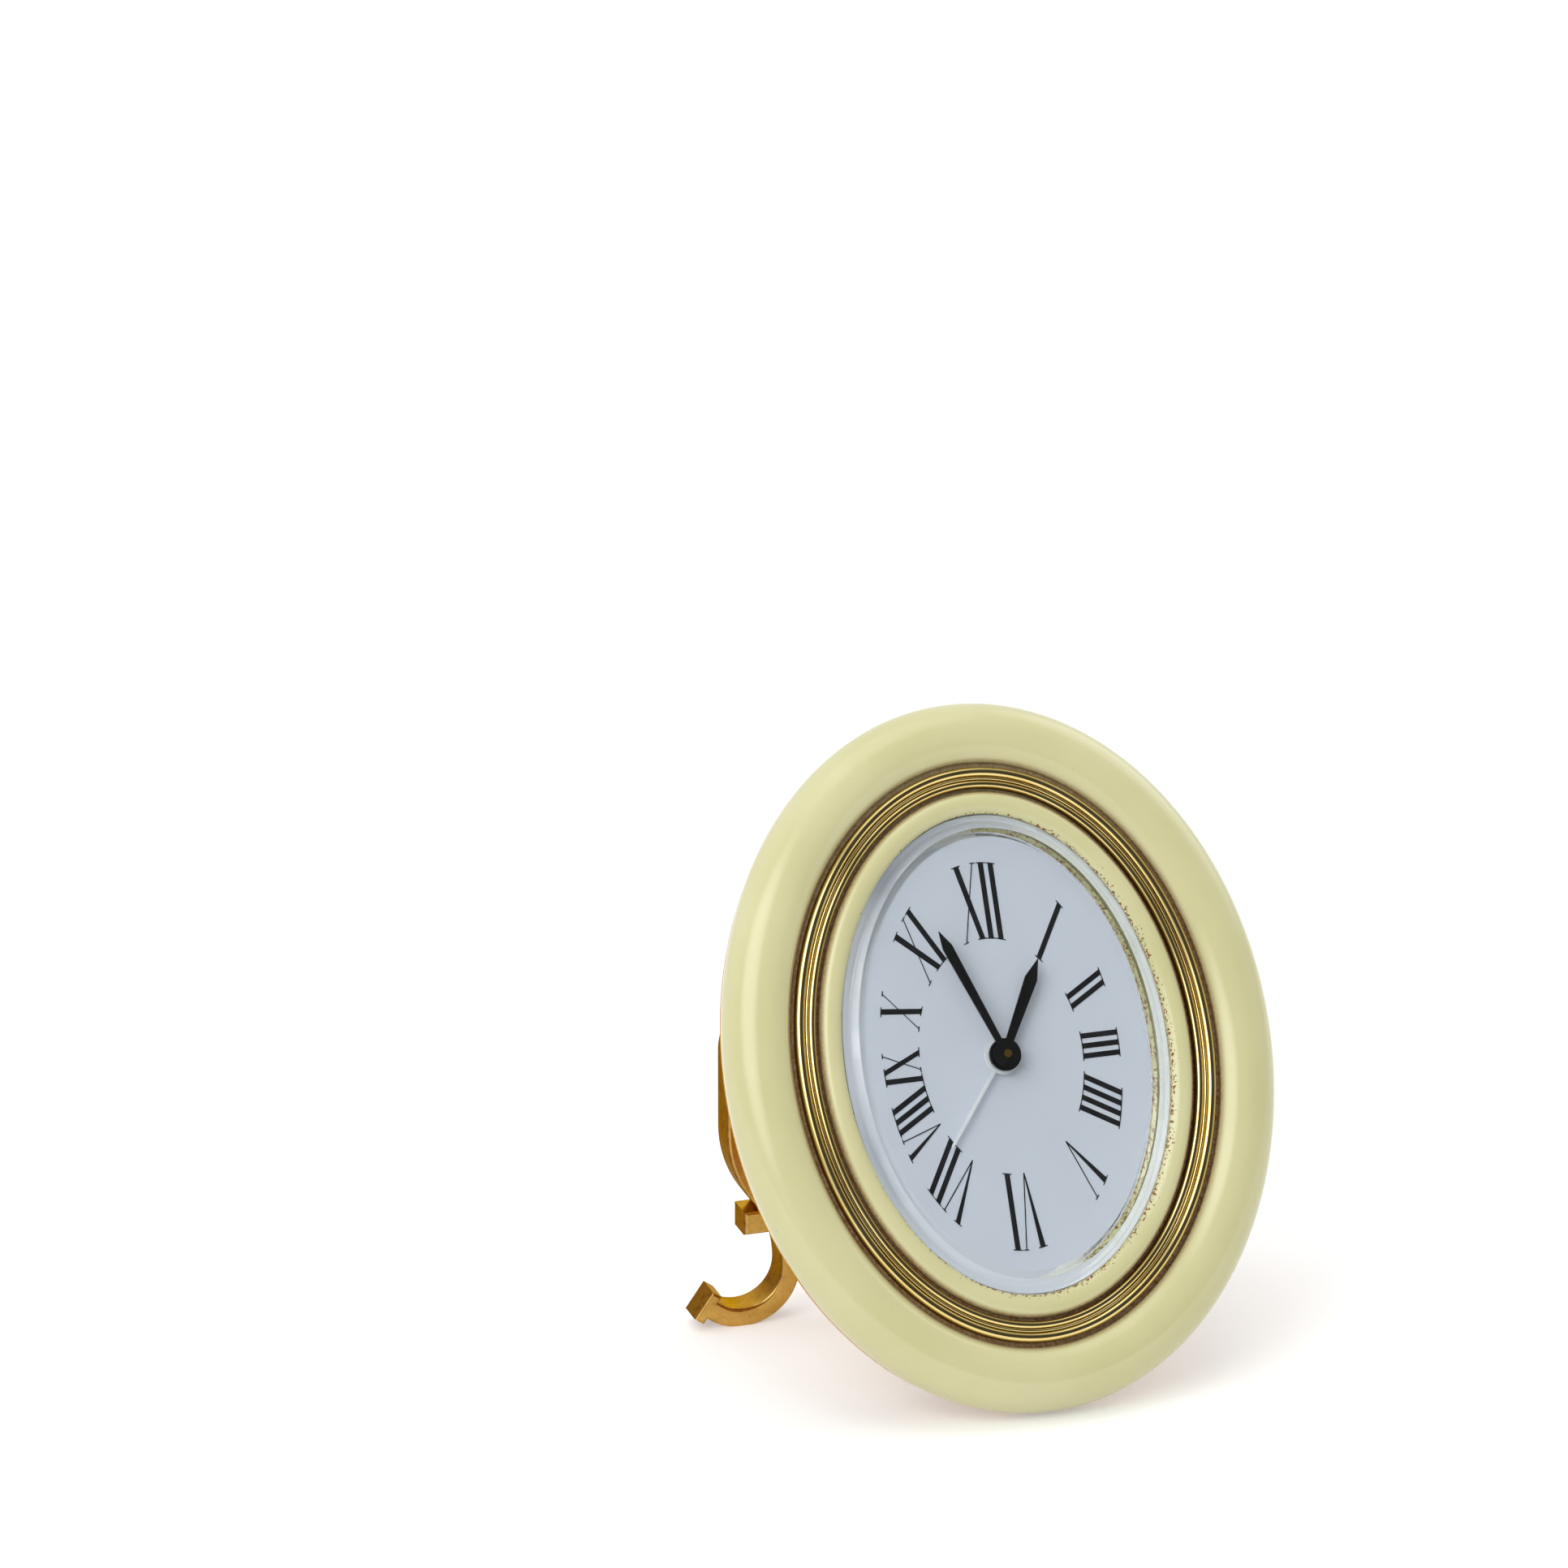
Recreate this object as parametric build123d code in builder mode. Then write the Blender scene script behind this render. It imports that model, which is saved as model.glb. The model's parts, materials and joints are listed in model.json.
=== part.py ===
import os
from math import acos, asin, atan2, cos, degrees, radians, sin, sqrt

from build123d import *

# Oval travel alarm clock on a folding lyre-shaped strut, in millimetres.
# Z is up, the dial faces -Y and leans back; the floor is Z = 0 and the
# origin is the middle of the clock's footprint box.

# Stance and outline of the case
lean = 28.0
half_width = 33.9
half_height = 42.5
clearance = 0.1
running_gap = 0.05
overrun = 1.0

# Enamelled case ring: depths are measured from the dial's front face,
# insets from the outline of the case
rim_radius = 4.45
rim_level = -0.65
rim_inner_radius = 3.75
ring_back = 2.4
web_top = 1.7
web_inset = 12.95
seat_inset = 10.6

# Brass trim ring between the two enamelled bands
trim_channel_inset = 7.5
trim_inset = 8.1
outer_reed = 0.58
middle_reed = 0.2
inner_reed = 0.47
reed_level = 0.72
middle_reed_rise = 0.2

# Enamelled bezel round the crystal
bezel_inset = 11.05
bezel_edge_inset = 13.7
bezel_shoulder = 0.4
bezel_crest = 1.75
bezel_crest_width = 1.15
bezel_lip_top = 1.1
bezel_lip_bottom = 0.45

# Crystal with its bevelled skirt
crystal_flange_top = 2.1
crystal_flange = 0.55
crystal_edge_top = 2.75
crystal_top = 3.75
crystal_bevel_width = 1.75
crystal_wall = 0.95

# White spacer between dial and crystal
spacer_width = 1.7

# Dial and its printed numerals
dial_thick = 0.5
dial_inset = 10.8
dial_hole = 2.0
print_thick = 0.04
numeral_end_insets = (19.15, 19.2)
numeral_foot_insets = (6.85, 7.15)
numeral_outer = (half_width - numeral_end_insets[0], half_height - numeral_end_insets[1])
numeral_inner = (half_width / 2 - numeral_foot_insets[0], half_height / 2 - numeral_foot_insets[1])
bar = 0.64
letter_gap = 0.56
wide_letter = 2.1
hair = 0.13
serif = 0.26

# Hands, from the dial up
hand_thick = 0.28
alarm_hand_level = 0.5
hour_hand_level = 1.15
minute_hand_level = 1.85
post_top = 2.75
alarm_hub = 2.3
hour_hub = 1.95
minute_hub = 1.6
hub_rise = 0.22
minute_length = 16.6
hour_length = 12.4
alarm_length = 12.6
minute_root = 0.76
minute_shoulder = 1.25
hour_root = 0.85
hour_shoulder = 1.55
alarm_root = 0.42
alarm_tip = 0.3
minute_angle = -21.6
hour_angle = 28.2
alarm_angle = 218.0
minute_shoulder_share = 0.87
hour_shoulder_share = 0.79

# Concentric posts at the centre
post_radius = 0.5
arbor_radius = 0.9
hour_tube_radius = 1.35
alarm_tube_radius = 1.8

# Wheels: modules, thicknesses and depths below the dial face
motion_module = 0.25
hour_module = 0.24
train_module = 0.2
rotor_module = 0.18
wheel_thick = 0.5
alarm_wheel_depth = 1.5
hour_wheel_depth = 2.5
minute_wheel_depth = 3.5
centre_wheel_depth = 5.8
third_wheel_depth = 6.8
pinion_extra = 0.2
pivot_radius = 0.35
cannon_teeth = 12
minute_teeth = 36
minute_pinion_teeth = 10
hour_teeth = 40
alarm_teeth = 36
idler_teeth = 24
stem_teeth = 12
centre_teeth = 60
third_pinion_teeth = 10
third_teeth = 50
rotor_teeth = 10
knob_angle = 198.0
third_angle = 60.0
rotor_angle = 20.0
tooth_share = 0.38
addendum_share = 0.75
dedendum_share = 1.1
flank_angle = 20.0

# Movement
ring_bore_inset = 13.4
plate_top = 4.0
plate_thick = 1.0
rear_plate_depth = 9.0
rear_plate_thick = 0.7
rear_plate_width = 32.0
rear_plate_height = 27.0
rear_plate_rise = 2.5
rear_plate_corner = 4.0
pillar_radius = 1.3
pillar_margin = 2.2
stator_depth = 7.9
stator_thick = 0.5
stator_width = 11.0
stator_height = 6.6
stator_bore = 2.2
stator_shift = 1.2
magnet_radius = 1.8
magnet_depth = 8.0
magnet_thick = 0.8
coil_radius = 1.15
coil_length = 8.6
coil_shift = 1.2
coil_offset = 5.2
coil_winding_step = 0.2
coil_cheek = 0.6

# Electronics
board_margin = 9.9
board_width = half_width - board_margin
board_height = 9.0
board_thick = 0.8
board_lift = 2.15
board_rise = half_height / 2 + board_lift
can_radius = 1.0
can_length = 6.0
chip_side = 4.4
chip_thick = 1.1
sounder_radius = 8.0
sounder_thick = 0.4
sounder_rise = 1.0

# Battery cell and its contacts
cell_radius = 5.8
cell_thick = 5.4
cell_offset = 8.375
cell_drop = half_height / 4 + cell_offset
contact_thick = 0.15
contact_width = 3.0
well_wall = 1.0
well_depth = 3.0

# Gilt case body
flange_inset = 0.4
flange_thick = 1.0
flange_round = 0.4
drum_side_inset = 6.4
drum_end_inset = 6.5
drum_width = half_width - drum_side_inset
drum_height = half_height - drum_end_inset
drum_wall = 1.2
drum_back = 11.8
drum_round = 1.0
lip_wall = 1.4
ledge_width = 1.0
boss_radius = 1.9

# Back cover, hatch and button
cover_thick = 1.2
hatch_radius = 7.2
hatch_rim = 0.9
hatch_step = 0.5
hatch_skirt = 0.3
lug_half = 2.2
lug_thick = 0.5
seal_thick = 0.15
seal_width = 0.5
slot_width = 1.6
slot_depth = 0.6
button_radius = 2.4
button_rise = 1.7
button_flange = 0.8
button_flange_thick = 0.45
button_stem = 1.2
button_stem_length = 2.6
button_lift = 1.2
button_place = board_rise + button_lift
leaf_thick = 0.15
leaf_width = 2.0
leaf_length = 5.0
vent_radius = 0.5
vent_pitch = 2.2
vents = 5

# Setting knobs
stem_radius = 1.1
stem_socket = 1.2
knob_radius = 4.2
knob_gap = 0.3
knob_thick = 2.6
knob_grooves = 28
groove_radius = 0.32
knob_round = 0.4
collar_radius = 1.6
collar_thick = 0.35

# Screws, with the angles at which they stand on their ovals
ring_screw_angles = (45, 135, 225, 315)
case_screw_angles = (38, 142, 218, 322)
cover_screw_angles = (50, 130, 230, 310)
screw_radius = 0.6
screw_head = 1.15
screw_head_thick = 0.5
screw_slot = 0.3
screw_bite = 2.2

# Lyre strut and its hinge
hinge_rise = 14.6
strut_depth = 4.2
strut_band = 2.4
strut_half = 28.3
strut_corner = 6.5
strut_round = 0.4
side_level = 25.0
waist_half = 20.3
scroll_radius = 6.0
scroll_flat = 0.2
scroll_turn = 35
toe_reach = 1.2
toe_length = 4.0
toe_thick = 1.4
rail_level = 13.2
rail_height = 3.0
rail_half = 26.2
bracket_thick = 0.8
fold_gap = 0.2
bracket_half = 12.5
bracket_height = 7.0
knuckle_half = 6.0
ear_width = 2.6
ear_gap = 0.15
ear_radius = 1.7
bar_drop = 2.2
pin_radius = 0.8
pin_head = 1.25
pin_head_thick = 0.5
washer_radius = 1.6

# Planes: the dial's front face, and a section through the rim at 3 o'clock
front_level = rim_level + rim_radius
lowest_depth = ring_back + flange_thick - flange_round
lowest_drop = half_height - flange_inset - flange_round
dial_height = (sin(radians(lean)) * lowest_depth
               + cos(radians(lean)) * lowest_drop + flange_round)
front_reach = (sin(radians(lean)) * (half_height - rim_radius)
               + cos(radians(lean)) * rim_level + rim_radius)
back_reach = (cos(radians(lean)) * (drum_back - drum_round)
              + sin(radians(lean)) * (drum_height - drum_round) + drum_round)
dial_shift = (front_reach - back_reach) / 2
face_plane = Plane(
    origin=(0, dial_shift, dial_height),
    x_dir=(1, 0, 0),
    z_dir=(0, -cos(radians(lean)), sin(radians(lean))),
)
section_plane = Plane(
    origin=face_plane.from_local_coords((half_width, 0, 0)),
    x_dir=(-1, 0, 0),
    z_dir=(0, sin(radians(lean)), cos(radians(lean))),
)
face_axis = Axis(face_plane.origin, face_plane.z_dir)


def at(depth):
    # Plane parallel to the dial, depth below its front face
    return face_plane.offset(-depth)


def rise(height):
    # Plane parallel to the dial, height above its front face
    return face_plane.offset(height)


def polar(distance, angle):
    return (distance * cos(radians(angle)), distance * sin(radians(angle)))


def plus(a, b):
    return (a[0] + b[0], a[1] + b[1])


def oval_point(inset, angle):
    # Place on the case's oval, drawn in by inset
    return ((half_width - inset) * cos(radians(angle)), (half_height - inset) * sin(radians(angle)))


def write(piece, name):
    piece.part.label = name
    export_step(piece.part, f"parts/{name}.step")


def toothed(teeth, module, first_tooth):
    # Outline of a straight-flanked wheel with one tooth centred on first_tooth degrees
    pitch_radius = module * teeth / 2
    tip = pitch_radius + addendum_share * module
    root = pitch_radius - dedendum_share * module
    half_tooth = tooth_share * module * radians(90)
    lean_in = sin(radians(flank_angle)) / cos(radians(flank_angle))
    points = []
    for tooth in range(teeth):
        middle = radians(first_tooth) + tooth * radians(360) / teeth
        half_tip = (half_tooth - addendum_share * module * lean_in) / tip
        half_root = (half_tooth + dedendum_share * module * lean_in) / root
        for radius, turn in ((root, -half_root), (tip, -half_tip), (tip, half_tip), (root, half_root)):
            points.append((radius * cos(middle + turn), radius * sin(middle + turn)))
    return points


def moved(points, centre):
    return [plus(point, centre) for point in points]


os.makedirs("parts", exist_ok=True)

case_screw_places = [oval_point((flange_inset + half_width - drum_width) / 2, angle)
                     for angle in case_screw_angles]

with BuildLine(face_plane) as outline:
    EllipticalCenterArc((0, 0), half_width, half_height, 0, arc_size=360)

# Case ring: half-round enamelled rim with a web for trim, bezel and dial
rim_start = degrees(asin((rim_level + ring_back) / rim_radius))
rim_fall = degrees(acos((trim_channel_inset - rim_radius) / rim_inner_radius))
with BuildPart() as case_ring:
    with BuildSketch(section_plane):
        with BuildLine():
            outer = CenterArc((rim_radius, rim_level), rim_radius, 90, 90 + rim_start)
            inner = CenterArc(
                (rim_radius, front_level - rim_inner_radius), rim_inner_radius, 90, rim_fall - 90
            )
            Polyline(
                inner @ 1,
                (trim_channel_inset, web_top),
                (web_inset, web_top),
                (web_inset, 0),
                (seat_inset, 0),
                (seat_inset, -ring_back),
                outer @ 1,
            )
        make_face()
    sweep(path=outline.line)
    with BuildSketch(at(ring_back)):
        with Locations(*case_screw_places):
            Circle(screw_radius)
    extrude(amount=screw_bite, mode=Mode.SUBTRACT)
write(case_ring, "case_ring")

# Trim ring: three polished reeds standing in the channel
trim_width = 2 * (outer_reed + middle_reed + inner_reed)
reed_base = web_top + reed_level
middle_start = trim_inset + 2 * outer_reed
middle_end = middle_start + 2 * middle_reed
with BuildPart() as trim_ring:
    with BuildSketch(section_plane):
        with BuildLine():
            first = CenterArc((trim_inset + outer_reed, reed_base), outer_reed, 180, -180)
            second = CenterArc(
                (middle_start + middle_reed, reed_base + middle_reed_rise), middle_reed, 180, -180
            )
            third = CenterArc((middle_end + inner_reed, reed_base), inner_reed, 180, -180)
            Line(first @ 1, second @ 0)
            Line(second @ 1, third @ 0)
            Polyline(
                third @ 1,
                (trim_inset + trim_width, web_top),
                (trim_inset, web_top),
                first @ 0,
            )
        make_face()
    sweep(path=outline.line)
write(trim_ring, "trim_ring")

# Crystal bezel: rounded enamelled band with a lip over the crystal's flange
with BuildPart() as crystal_bezel:
    with BuildSketch(section_plane):
        with BuildLine():
            start = (bezel_inset, web_top + bezel_shoulder)
            crest = (bezel_inset + bezel_crest_width, web_top + bezel_crest)
            edge = (bezel_edge_inset, web_top + bezel_lip_top)
            outside = TangentArc(crest, start, tangent=(-1, 0))
            inside = TangentArc(crest, edge, tangent=(1, 0))
            Polyline(
                inside @ 1,
                (bezel_edge_inset, web_top + bezel_lip_bottom),
                (web_inset - clearance, web_top + bezel_lip_bottom),
                (web_inset - clearance, web_top),
                (bezel_inset, web_top),
                outside @ 1,
            )
        make_face()
    sweep(path=outline.line)
write(crystal_bezel, "crystal_bezel")

# Crystal: clear plate with a bevelled edge and a flange under the bezel's lip
flange_inset_crystal = web_inset + clearance
window_inset = bezel_edge_inset + clearance
cavity_inset = window_inset + crystal_wall
with BuildPart() as crystal:
    with BuildSketch(rise(crystal_flange_top - crystal_flange)):
        Ellipse(half_width - flange_inset_crystal - clearance, half_height - flange_inset_crystal - clearance)
    extrude(amount=crystal_flange)
    with BuildSketch(rise(crystal_flange_top)):
        Ellipse(half_width - window_inset - clearance, half_height - window_inset - clearance)
    extrude(amount=crystal_edge_top - crystal_flange_top)
    with BuildSketch(rise(crystal_edge_top)):
        Ellipse(half_width - window_inset - clearance, half_height - window_inset - clearance)
    with BuildSketch(rise(crystal_top)):
        Ellipse(half_width - window_inset - crystal_bevel_width, half_height - window_inset - crystal_bevel_width)
    loft(ruled=True)
    with BuildSketch(rise(crystal_flange_top - crystal_flange)):
        Ellipse(half_width - cavity_inset - clearance, half_height - cavity_inset - clearance)
    with BuildSketch(rise(crystal_top - crystal_wall)):
        Ellipse(half_width - cavity_inset - crystal_bevel_width, half_height - cavity_inset - crystal_bevel_width)
    loft(ruled=True, mode=Mode.SUBTRACT)
write(crystal, "crystal")

# Spacer: white ring that stands on the dial and carries the crystal
spacer_inset = web_inset + clearance
with BuildPart() as crystal_spacer:
    with BuildSketch(section_plane):
        with BuildLine():
            Polyline(
                (spacer_inset, 0),
                (spacer_inset, crystal_flange_top - crystal_flange),
                (spacer_inset + crystal_wall, crystal_flange_top - crystal_flange),
                (spacer_inset + spacer_width, 0),
                close=True,
            )
        make_face()
    sweep(path=outline.line)
write(crystal_spacer, "crystal_spacer")

# Dial: white lacquered plate
with BuildPart() as dial:
    with BuildSketch(at(dial_thick)):
        Ellipse(half_width - dial_inset, half_height - dial_inset)
        Circle(dial_hole, mode=Mode.SUBTRACT)
    extrude(amount=dial_thick)
write(dial, "dial")


def numeral_spot(hour, across, oval, inward=0):
    # Where a line parallel to the hour's radius, across to its right, meets an oval
    out = (sin(radians(30 * hour)), cos(radians(30 * hour)))
    right = (out[1], -out[0])
    a = (out[0] / oval[0]) ** 2 + (out[1] / oval[1]) ** 2
    b = across * (out[0] * right[0] / oval[0] ** 2 + out[1] * right[1] / oval[1] ** 2)
    c = across**2 * ((right[0] / oval[0]) ** 2 + (right[1] / oval[1]) ** 2) - 1
    along = (sqrt(b * b - a * c) - b) / a - inward
    return (along * out[0] + across * right[0], along * out[1] + across * right[1])


def stroke(hour, top, bottom, width, end_width):
    Polygon(
        numeral_spot(hour, top - width / 2, numeral_outer),
        numeral_spot(hour, top + width / 2, numeral_outer),
        numeral_spot(hour, bottom + end_width / 2, numeral_inner),
        numeral_spot(hour, bottom - end_width / 2, numeral_inner),
        align=None,
    )


def foot_line(hour, middle, width, oval, inward):
    left, right = middle - width / 2 - serif, middle + width / 2 + serif
    Polygon(
        numeral_spot(hour, left, oval, inward),
        numeral_spot(hour, right, oval, inward),
        numeral_spot(hour, right, oval, inward + hair),
        numeral_spot(hour, left, oval, inward + hair),
        align=None,
    )


def letter_width(letter):
    return bar if letter == "I" else wide_letter + bar / 2


def draw_numeral(hour, word):
    # Thick and hairline strokes, feet towards the centre of the dial
    place = -(sum(letter_width(letter) for letter in word) + letter_gap * (len(word) - 1)) / 2
    for letter in word:
        middle = place + letter_width(letter) / 2
        left, right = middle - wide_letter / 2, middle + wide_letter / 2
        if letter == "I":
            stroke(hour, middle, middle, bar, bar)
            foot_line(hour, middle, bar, numeral_outer, 0)
            foot_line(hour, middle, bar, numeral_inner, -hair)
        if letter == "X":
            stroke(hour, left, right, bar, bar)
            stroke(hour, right, left, hair, hair)
            foot_line(hour, left, bar, numeral_outer, 0)
            foot_line(hour, right, hair, numeral_outer, 0)
            foot_line(hour, left, hair, numeral_inner, -hair)
            foot_line(hour, right, bar, numeral_inner, -hair)
        if letter == "V":
            stroke(hour, left, middle, bar, hair)
            stroke(hour, right, middle, hair, hair)
            foot_line(hour, left, bar, numeral_outer, 0)
            foot_line(hour, right, hair, numeral_outer, 0)
        place += letter_width(letter) + letter_gap


numerals = ("I", "II", "III", "IIII", "V", "VI", "VII", "VIII", "IX", "X", "XI", "XII")
with BuildPart() as dial_numerals:
    for hour, word in enumerate(numerals, 1):
        with BuildSketch(face_plane):
            draw_numeral(hour, word)
        extrude(amount=print_thick)
write(dial_numerals, "dial_numerals")


def hand_outline(angle, stations):
    # Mirrored outline of a hand from (distance, half width) stations
    out = (sin(radians(angle)), cos(radians(angle)))
    right = (out[1], -out[0])
    left_side = [(d * out[0] - w * right[0], d * out[1] - w * right[1]) for d, w in stations]
    right_side = [(d * out[0] + w * right[0], d * out[1] + w * right[1]) for d, w in reversed(stations)]
    return [point for i, point in enumerate(left_side + right_side) if i != len(stations)]


# Minute hand: long pointed hand, its hub pressed on the centre arbor
minute_stations = (
    (0, minute_root / 2),
    (minute_length * minute_shoulder_share, minute_shoulder / 2),
    (minute_length, 0),
)
with BuildPart() as minute_hand:
    with BuildSketch(rise(minute_hand_level)):
        Polygon(*hand_outline(minute_angle, minute_stations), align=None)
    extrude(amount=hand_thick)
    with BuildSketch(rise(minute_hand_level)):
        Circle(minute_hub)
    extrude(amount=hand_thick + hub_rise)
    with BuildSketch(rise(minute_hand_level)):
        Circle(post_radius)
    extrude(amount=hand_thick + hub_rise, mode=Mode.SUBTRACT)
write(minute_hand, "minute_hand")

# Hour hand: shorter and broader, its hub pressed on the hour tube
hour_stations = (
    (0, hour_root / 2),
    (hour_length * hour_shoulder_share, hour_shoulder / 2),
    (hour_length, 0),
)
with BuildPart() as hour_hand:
    with BuildSketch(rise(hour_hand_level)):
        Polygon(*hand_outline(hour_angle, hour_stations), align=None)
    extrude(amount=hand_thick)
    with BuildSketch(rise(hour_hand_level)):
        Circle(hour_hub)
    extrude(amount=hand_thick + hub_rise)
    with BuildSketch(rise(hour_hand_level)):
        Circle(hour_tube_radius)
    extrude(amount=hand_thick + hub_rise, mode=Mode.SUBTRACT)
write(hour_hand, "hour_hand")

# Alarm hand: thin white needle, its hub pressed on the alarm tube
alarm_stations = ((0, alarm_root / 2), (alarm_length, alarm_tip / 2), (alarm_length + alarm_tip, 0))
with BuildPart() as alarm_hand:
    with BuildSketch(rise(alarm_hand_level)):
        Polygon(*hand_outline(alarm_angle, alarm_stations), align=None)
        Circle(alarm_hub)
        Circle(alarm_tube_radius, mode=Mode.SUBTRACT)
    extrude(amount=hand_thick)
write(alarm_hand, "alarm_hand")

# Wheel centres and gear phases on the dial's plane
motion_distance = motion_module * (cannon_teeth + minute_teeth) / 2
minute_centre = polar(motion_distance, knob_angle)
time_centre = polar(motion_distance + motion_module * (minute_teeth + stem_teeth) / 2, knob_angle)
idler_distance = motion_module * (alarm_teeth + idler_teeth) / 2
alarm_way = 180 - knob_angle
idler_centre = polar(idler_distance, alarm_way)
alarm_centre = polar(idler_distance + motion_module * (idler_teeth + stem_teeth) / 2, alarm_way)
third_centre = polar(train_module * (centre_teeth + third_pinion_teeth) / 2, third_angle)
rotor_centre = plus(third_centre, polar(rotor_module * (third_teeth + rotor_teeth) / 2, rotor_angle))


def gap_facing(teeth, way):
    # Angle of a tooth, so that a gap between two teeth faces way
    return way + 180 / teeth


# Centre arbor: cannon pinion and minute post in one, in brass
arbor_bottom = centre_wheel_depth + pinion_extra + wheel_thick
with BuildPart() as centre_arbor:
    with BuildSketch(at(arbor_bottom)):
        Circle(arbor_radius)
    extrude(amount=arbor_bottom + minute_hand_level)
    with BuildSketch(rise(minute_hand_level)):
        Circle(post_radius)
    extrude(amount=post_top - minute_hand_level)
    with BuildSketch(at(minute_wheel_depth + pinion_extra / 2)):
        Polygon(*toothed(cannon_teeth, motion_module, gap_facing(cannon_teeth, knob_angle)), align=None)
    extrude(amount=wheel_thick + pinion_extra)
write(centre_arbor, "centre_arbor")

# Centre wheel of the drive train, on the arbor behind the main plate
with BuildPart() as centre_wheel:
    with BuildSketch(at(centre_wheel_depth)):
        Polygon(*toothed(centre_teeth, train_module, third_angle), align=None)
        Circle(arbor_radius, mode=Mode.SUBTRACT)
    extrude(amount=wheel_thick)
write(centre_wheel, "centre_wheel")

# Hour wheel with its tube, running on the arbor
hour_pitch = hour_module * hour_teeth / 2
with BuildPart() as hour_wheel:
    with BuildSketch(at(hour_wheel_depth)):
        Polygon(*toothed(hour_teeth, hour_module, gap_facing(hour_teeth, knob_angle)), align=None)
    extrude(amount=wheel_thick)
    with BuildSketch(at(hour_wheel_depth)):
        Circle(hour_tube_radius)
    extrude(amount=hour_wheel_depth + hour_hand_level + hand_thick)
    with BuildSketch(at(hour_wheel_depth)):
        Circle(arbor_radius + running_gap)
    extrude(amount=hour_wheel_depth + hour_hand_level + hand_thick, mode=Mode.SUBTRACT)
write(hour_wheel, "hour_wheel")

# Alarm wheel with its tube, running on the hour tube
with BuildPart() as alarm_wheel:
    with BuildSketch(at(alarm_wheel_depth)):
        Polygon(*toothed(alarm_teeth, motion_module, alarm_way), align=None)
    extrude(amount=wheel_thick)
    with BuildSketch(at(alarm_wheel_depth)):
        Circle(alarm_tube_radius)
    extrude(amount=alarm_wheel_depth + alarm_hand_level + hand_thick)
    with BuildSketch(at(alarm_wheel_depth)):
        Circle(hour_tube_radius + running_gap)
    extrude(amount=alarm_wheel_depth + alarm_hand_level + hand_thick, mode=Mode.SUBTRACT)
write(alarm_wheel, "alarm_wheel")

# Minute wheel: takes the arbor's turn, its pinion drives the hour wheel
with BuildPart() as minute_wheel:
    with BuildSketch(at(minute_wheel_depth)):
        Polygon(*moved(toothed(minute_teeth, motion_module, knob_angle), minute_centre), align=None)
    extrude(amount=wheel_thick)
    with BuildSketch(at(minute_wheel_depth)):
        pinion = toothed(minute_pinion_teeth, hour_module, knob_angle + 180)
        Polygon(*moved(pinion, minute_centre), align=None)
    extrude(amount=minute_wheel_depth - hour_wheel_depth + wheel_thick + pinion_extra)
    with BuildSketch(at(plate_top + plate_thick)):
        with Locations(minute_centre):
            Circle(pivot_radius)
    extrude(amount=plate_top + plate_thick - minute_wheel_depth)
write(minute_wheel, "minute_wheel")

# Alarm idler between the alarm wheel and the alarm stem
with BuildPart() as alarm_idler:
    with BuildSketch(at(alarm_wheel_depth)):
        Polygon(*moved(toothed(idler_teeth, motion_module, gap_facing(idler_teeth, alarm_way)), idler_centre),
                align=None)
    extrude(amount=wheel_thick)
    with BuildSketch(at(plate_top + plate_thick)):
        with Locations(idler_centre):
            Circle(pivot_radius)
    extrude(amount=plate_top + plate_thick - alarm_wheel_depth)
write(alarm_idler, "alarm_idler")

# Third wheel of the drive train, pivoted in both plates
rear_face = rear_plate_depth - rear_plate_thick
with BuildPart() as third_wheel:
    with BuildSketch(at(third_wheel_depth)):
        wheel = toothed(third_teeth, rotor_module, rotor_angle)
        Polygon(*moved(wheel, third_centre), align=None)
    extrude(amount=wheel_thick)
    with BuildSketch(at(third_wheel_depth)):
        pinion = toothed(third_pinion_teeth, train_module, gap_facing(third_pinion_teeth, third_angle + 180))
        Polygon(*moved(pinion, third_centre), align=None)
    extrude(amount=third_wheel_depth - centre_wheel_depth + wheel_thick + pinion_extra)
    with BuildSketch(at(rear_plate_depth - pinion_extra)):
        with Locations(third_centre):
            Circle(pivot_radius)
    extrude(amount=rear_plate_depth - plate_top - 2 * pinion_extra)
write(third_wheel, "third_wheel")

# Rotor: magnet, pinion and pivots of the stepping motor
with BuildPart() as rotor:
    with BuildSketch(at(magnet_depth)):
        with Locations(rotor_centre):
            Circle(magnet_radius)
    extrude(amount=magnet_thick)
    with BuildSketch(at(magnet_depth - magnet_thick)):
        pinion = toothed(rotor_teeth, rotor_module, gap_facing(rotor_teeth, rotor_angle + 180))
        Polygon(*moved(pinion, rotor_centre), align=None)
    extrude(amount=magnet_depth - magnet_thick - third_wheel_depth + wheel_thick + pinion_extra)
    with BuildSketch(at(rear_plate_depth - pinion_extra)):
        with Locations(rotor_centre):
            Circle(pivot_radius)
    extrude(amount=rear_plate_depth - plate_top - 2 * pinion_extra)
write(rotor, "rotor")

# Stator: soft-iron plate round the magnet, with two arms that carry the coil
stator_middle = plus(rotor_centre, (stator_shift, 0))
coil_middle = (stator_middle[0] - stator_shift - coil_shift, rotor_centre[1] + coil_offset)
stator_rivet = plus(rotor_centre, (stator_bore + 2 * coil_cheek, 0))
with BuildPart() as stator:
    with BuildSketch(at(stator_depth)):
        with Locations(stator_middle):
            RectangleRounded(stator_width, stator_height, coil_cheek)
        for side in (-1, 1):
            arm_x = coil_middle[0] + side * (coil_length / 2 - coil_cheek)
            with Locations((arm_x, rotor_centre[1] + coil_offset / 2)):
                Rectangle(2 * coil_cheek, coil_offset + coil_radius)
        with Locations(rotor_centre):
            Circle(stator_bore, mode=Mode.SUBTRACT)
    extrude(amount=stator_thick)
write(stator, "stator")

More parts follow.
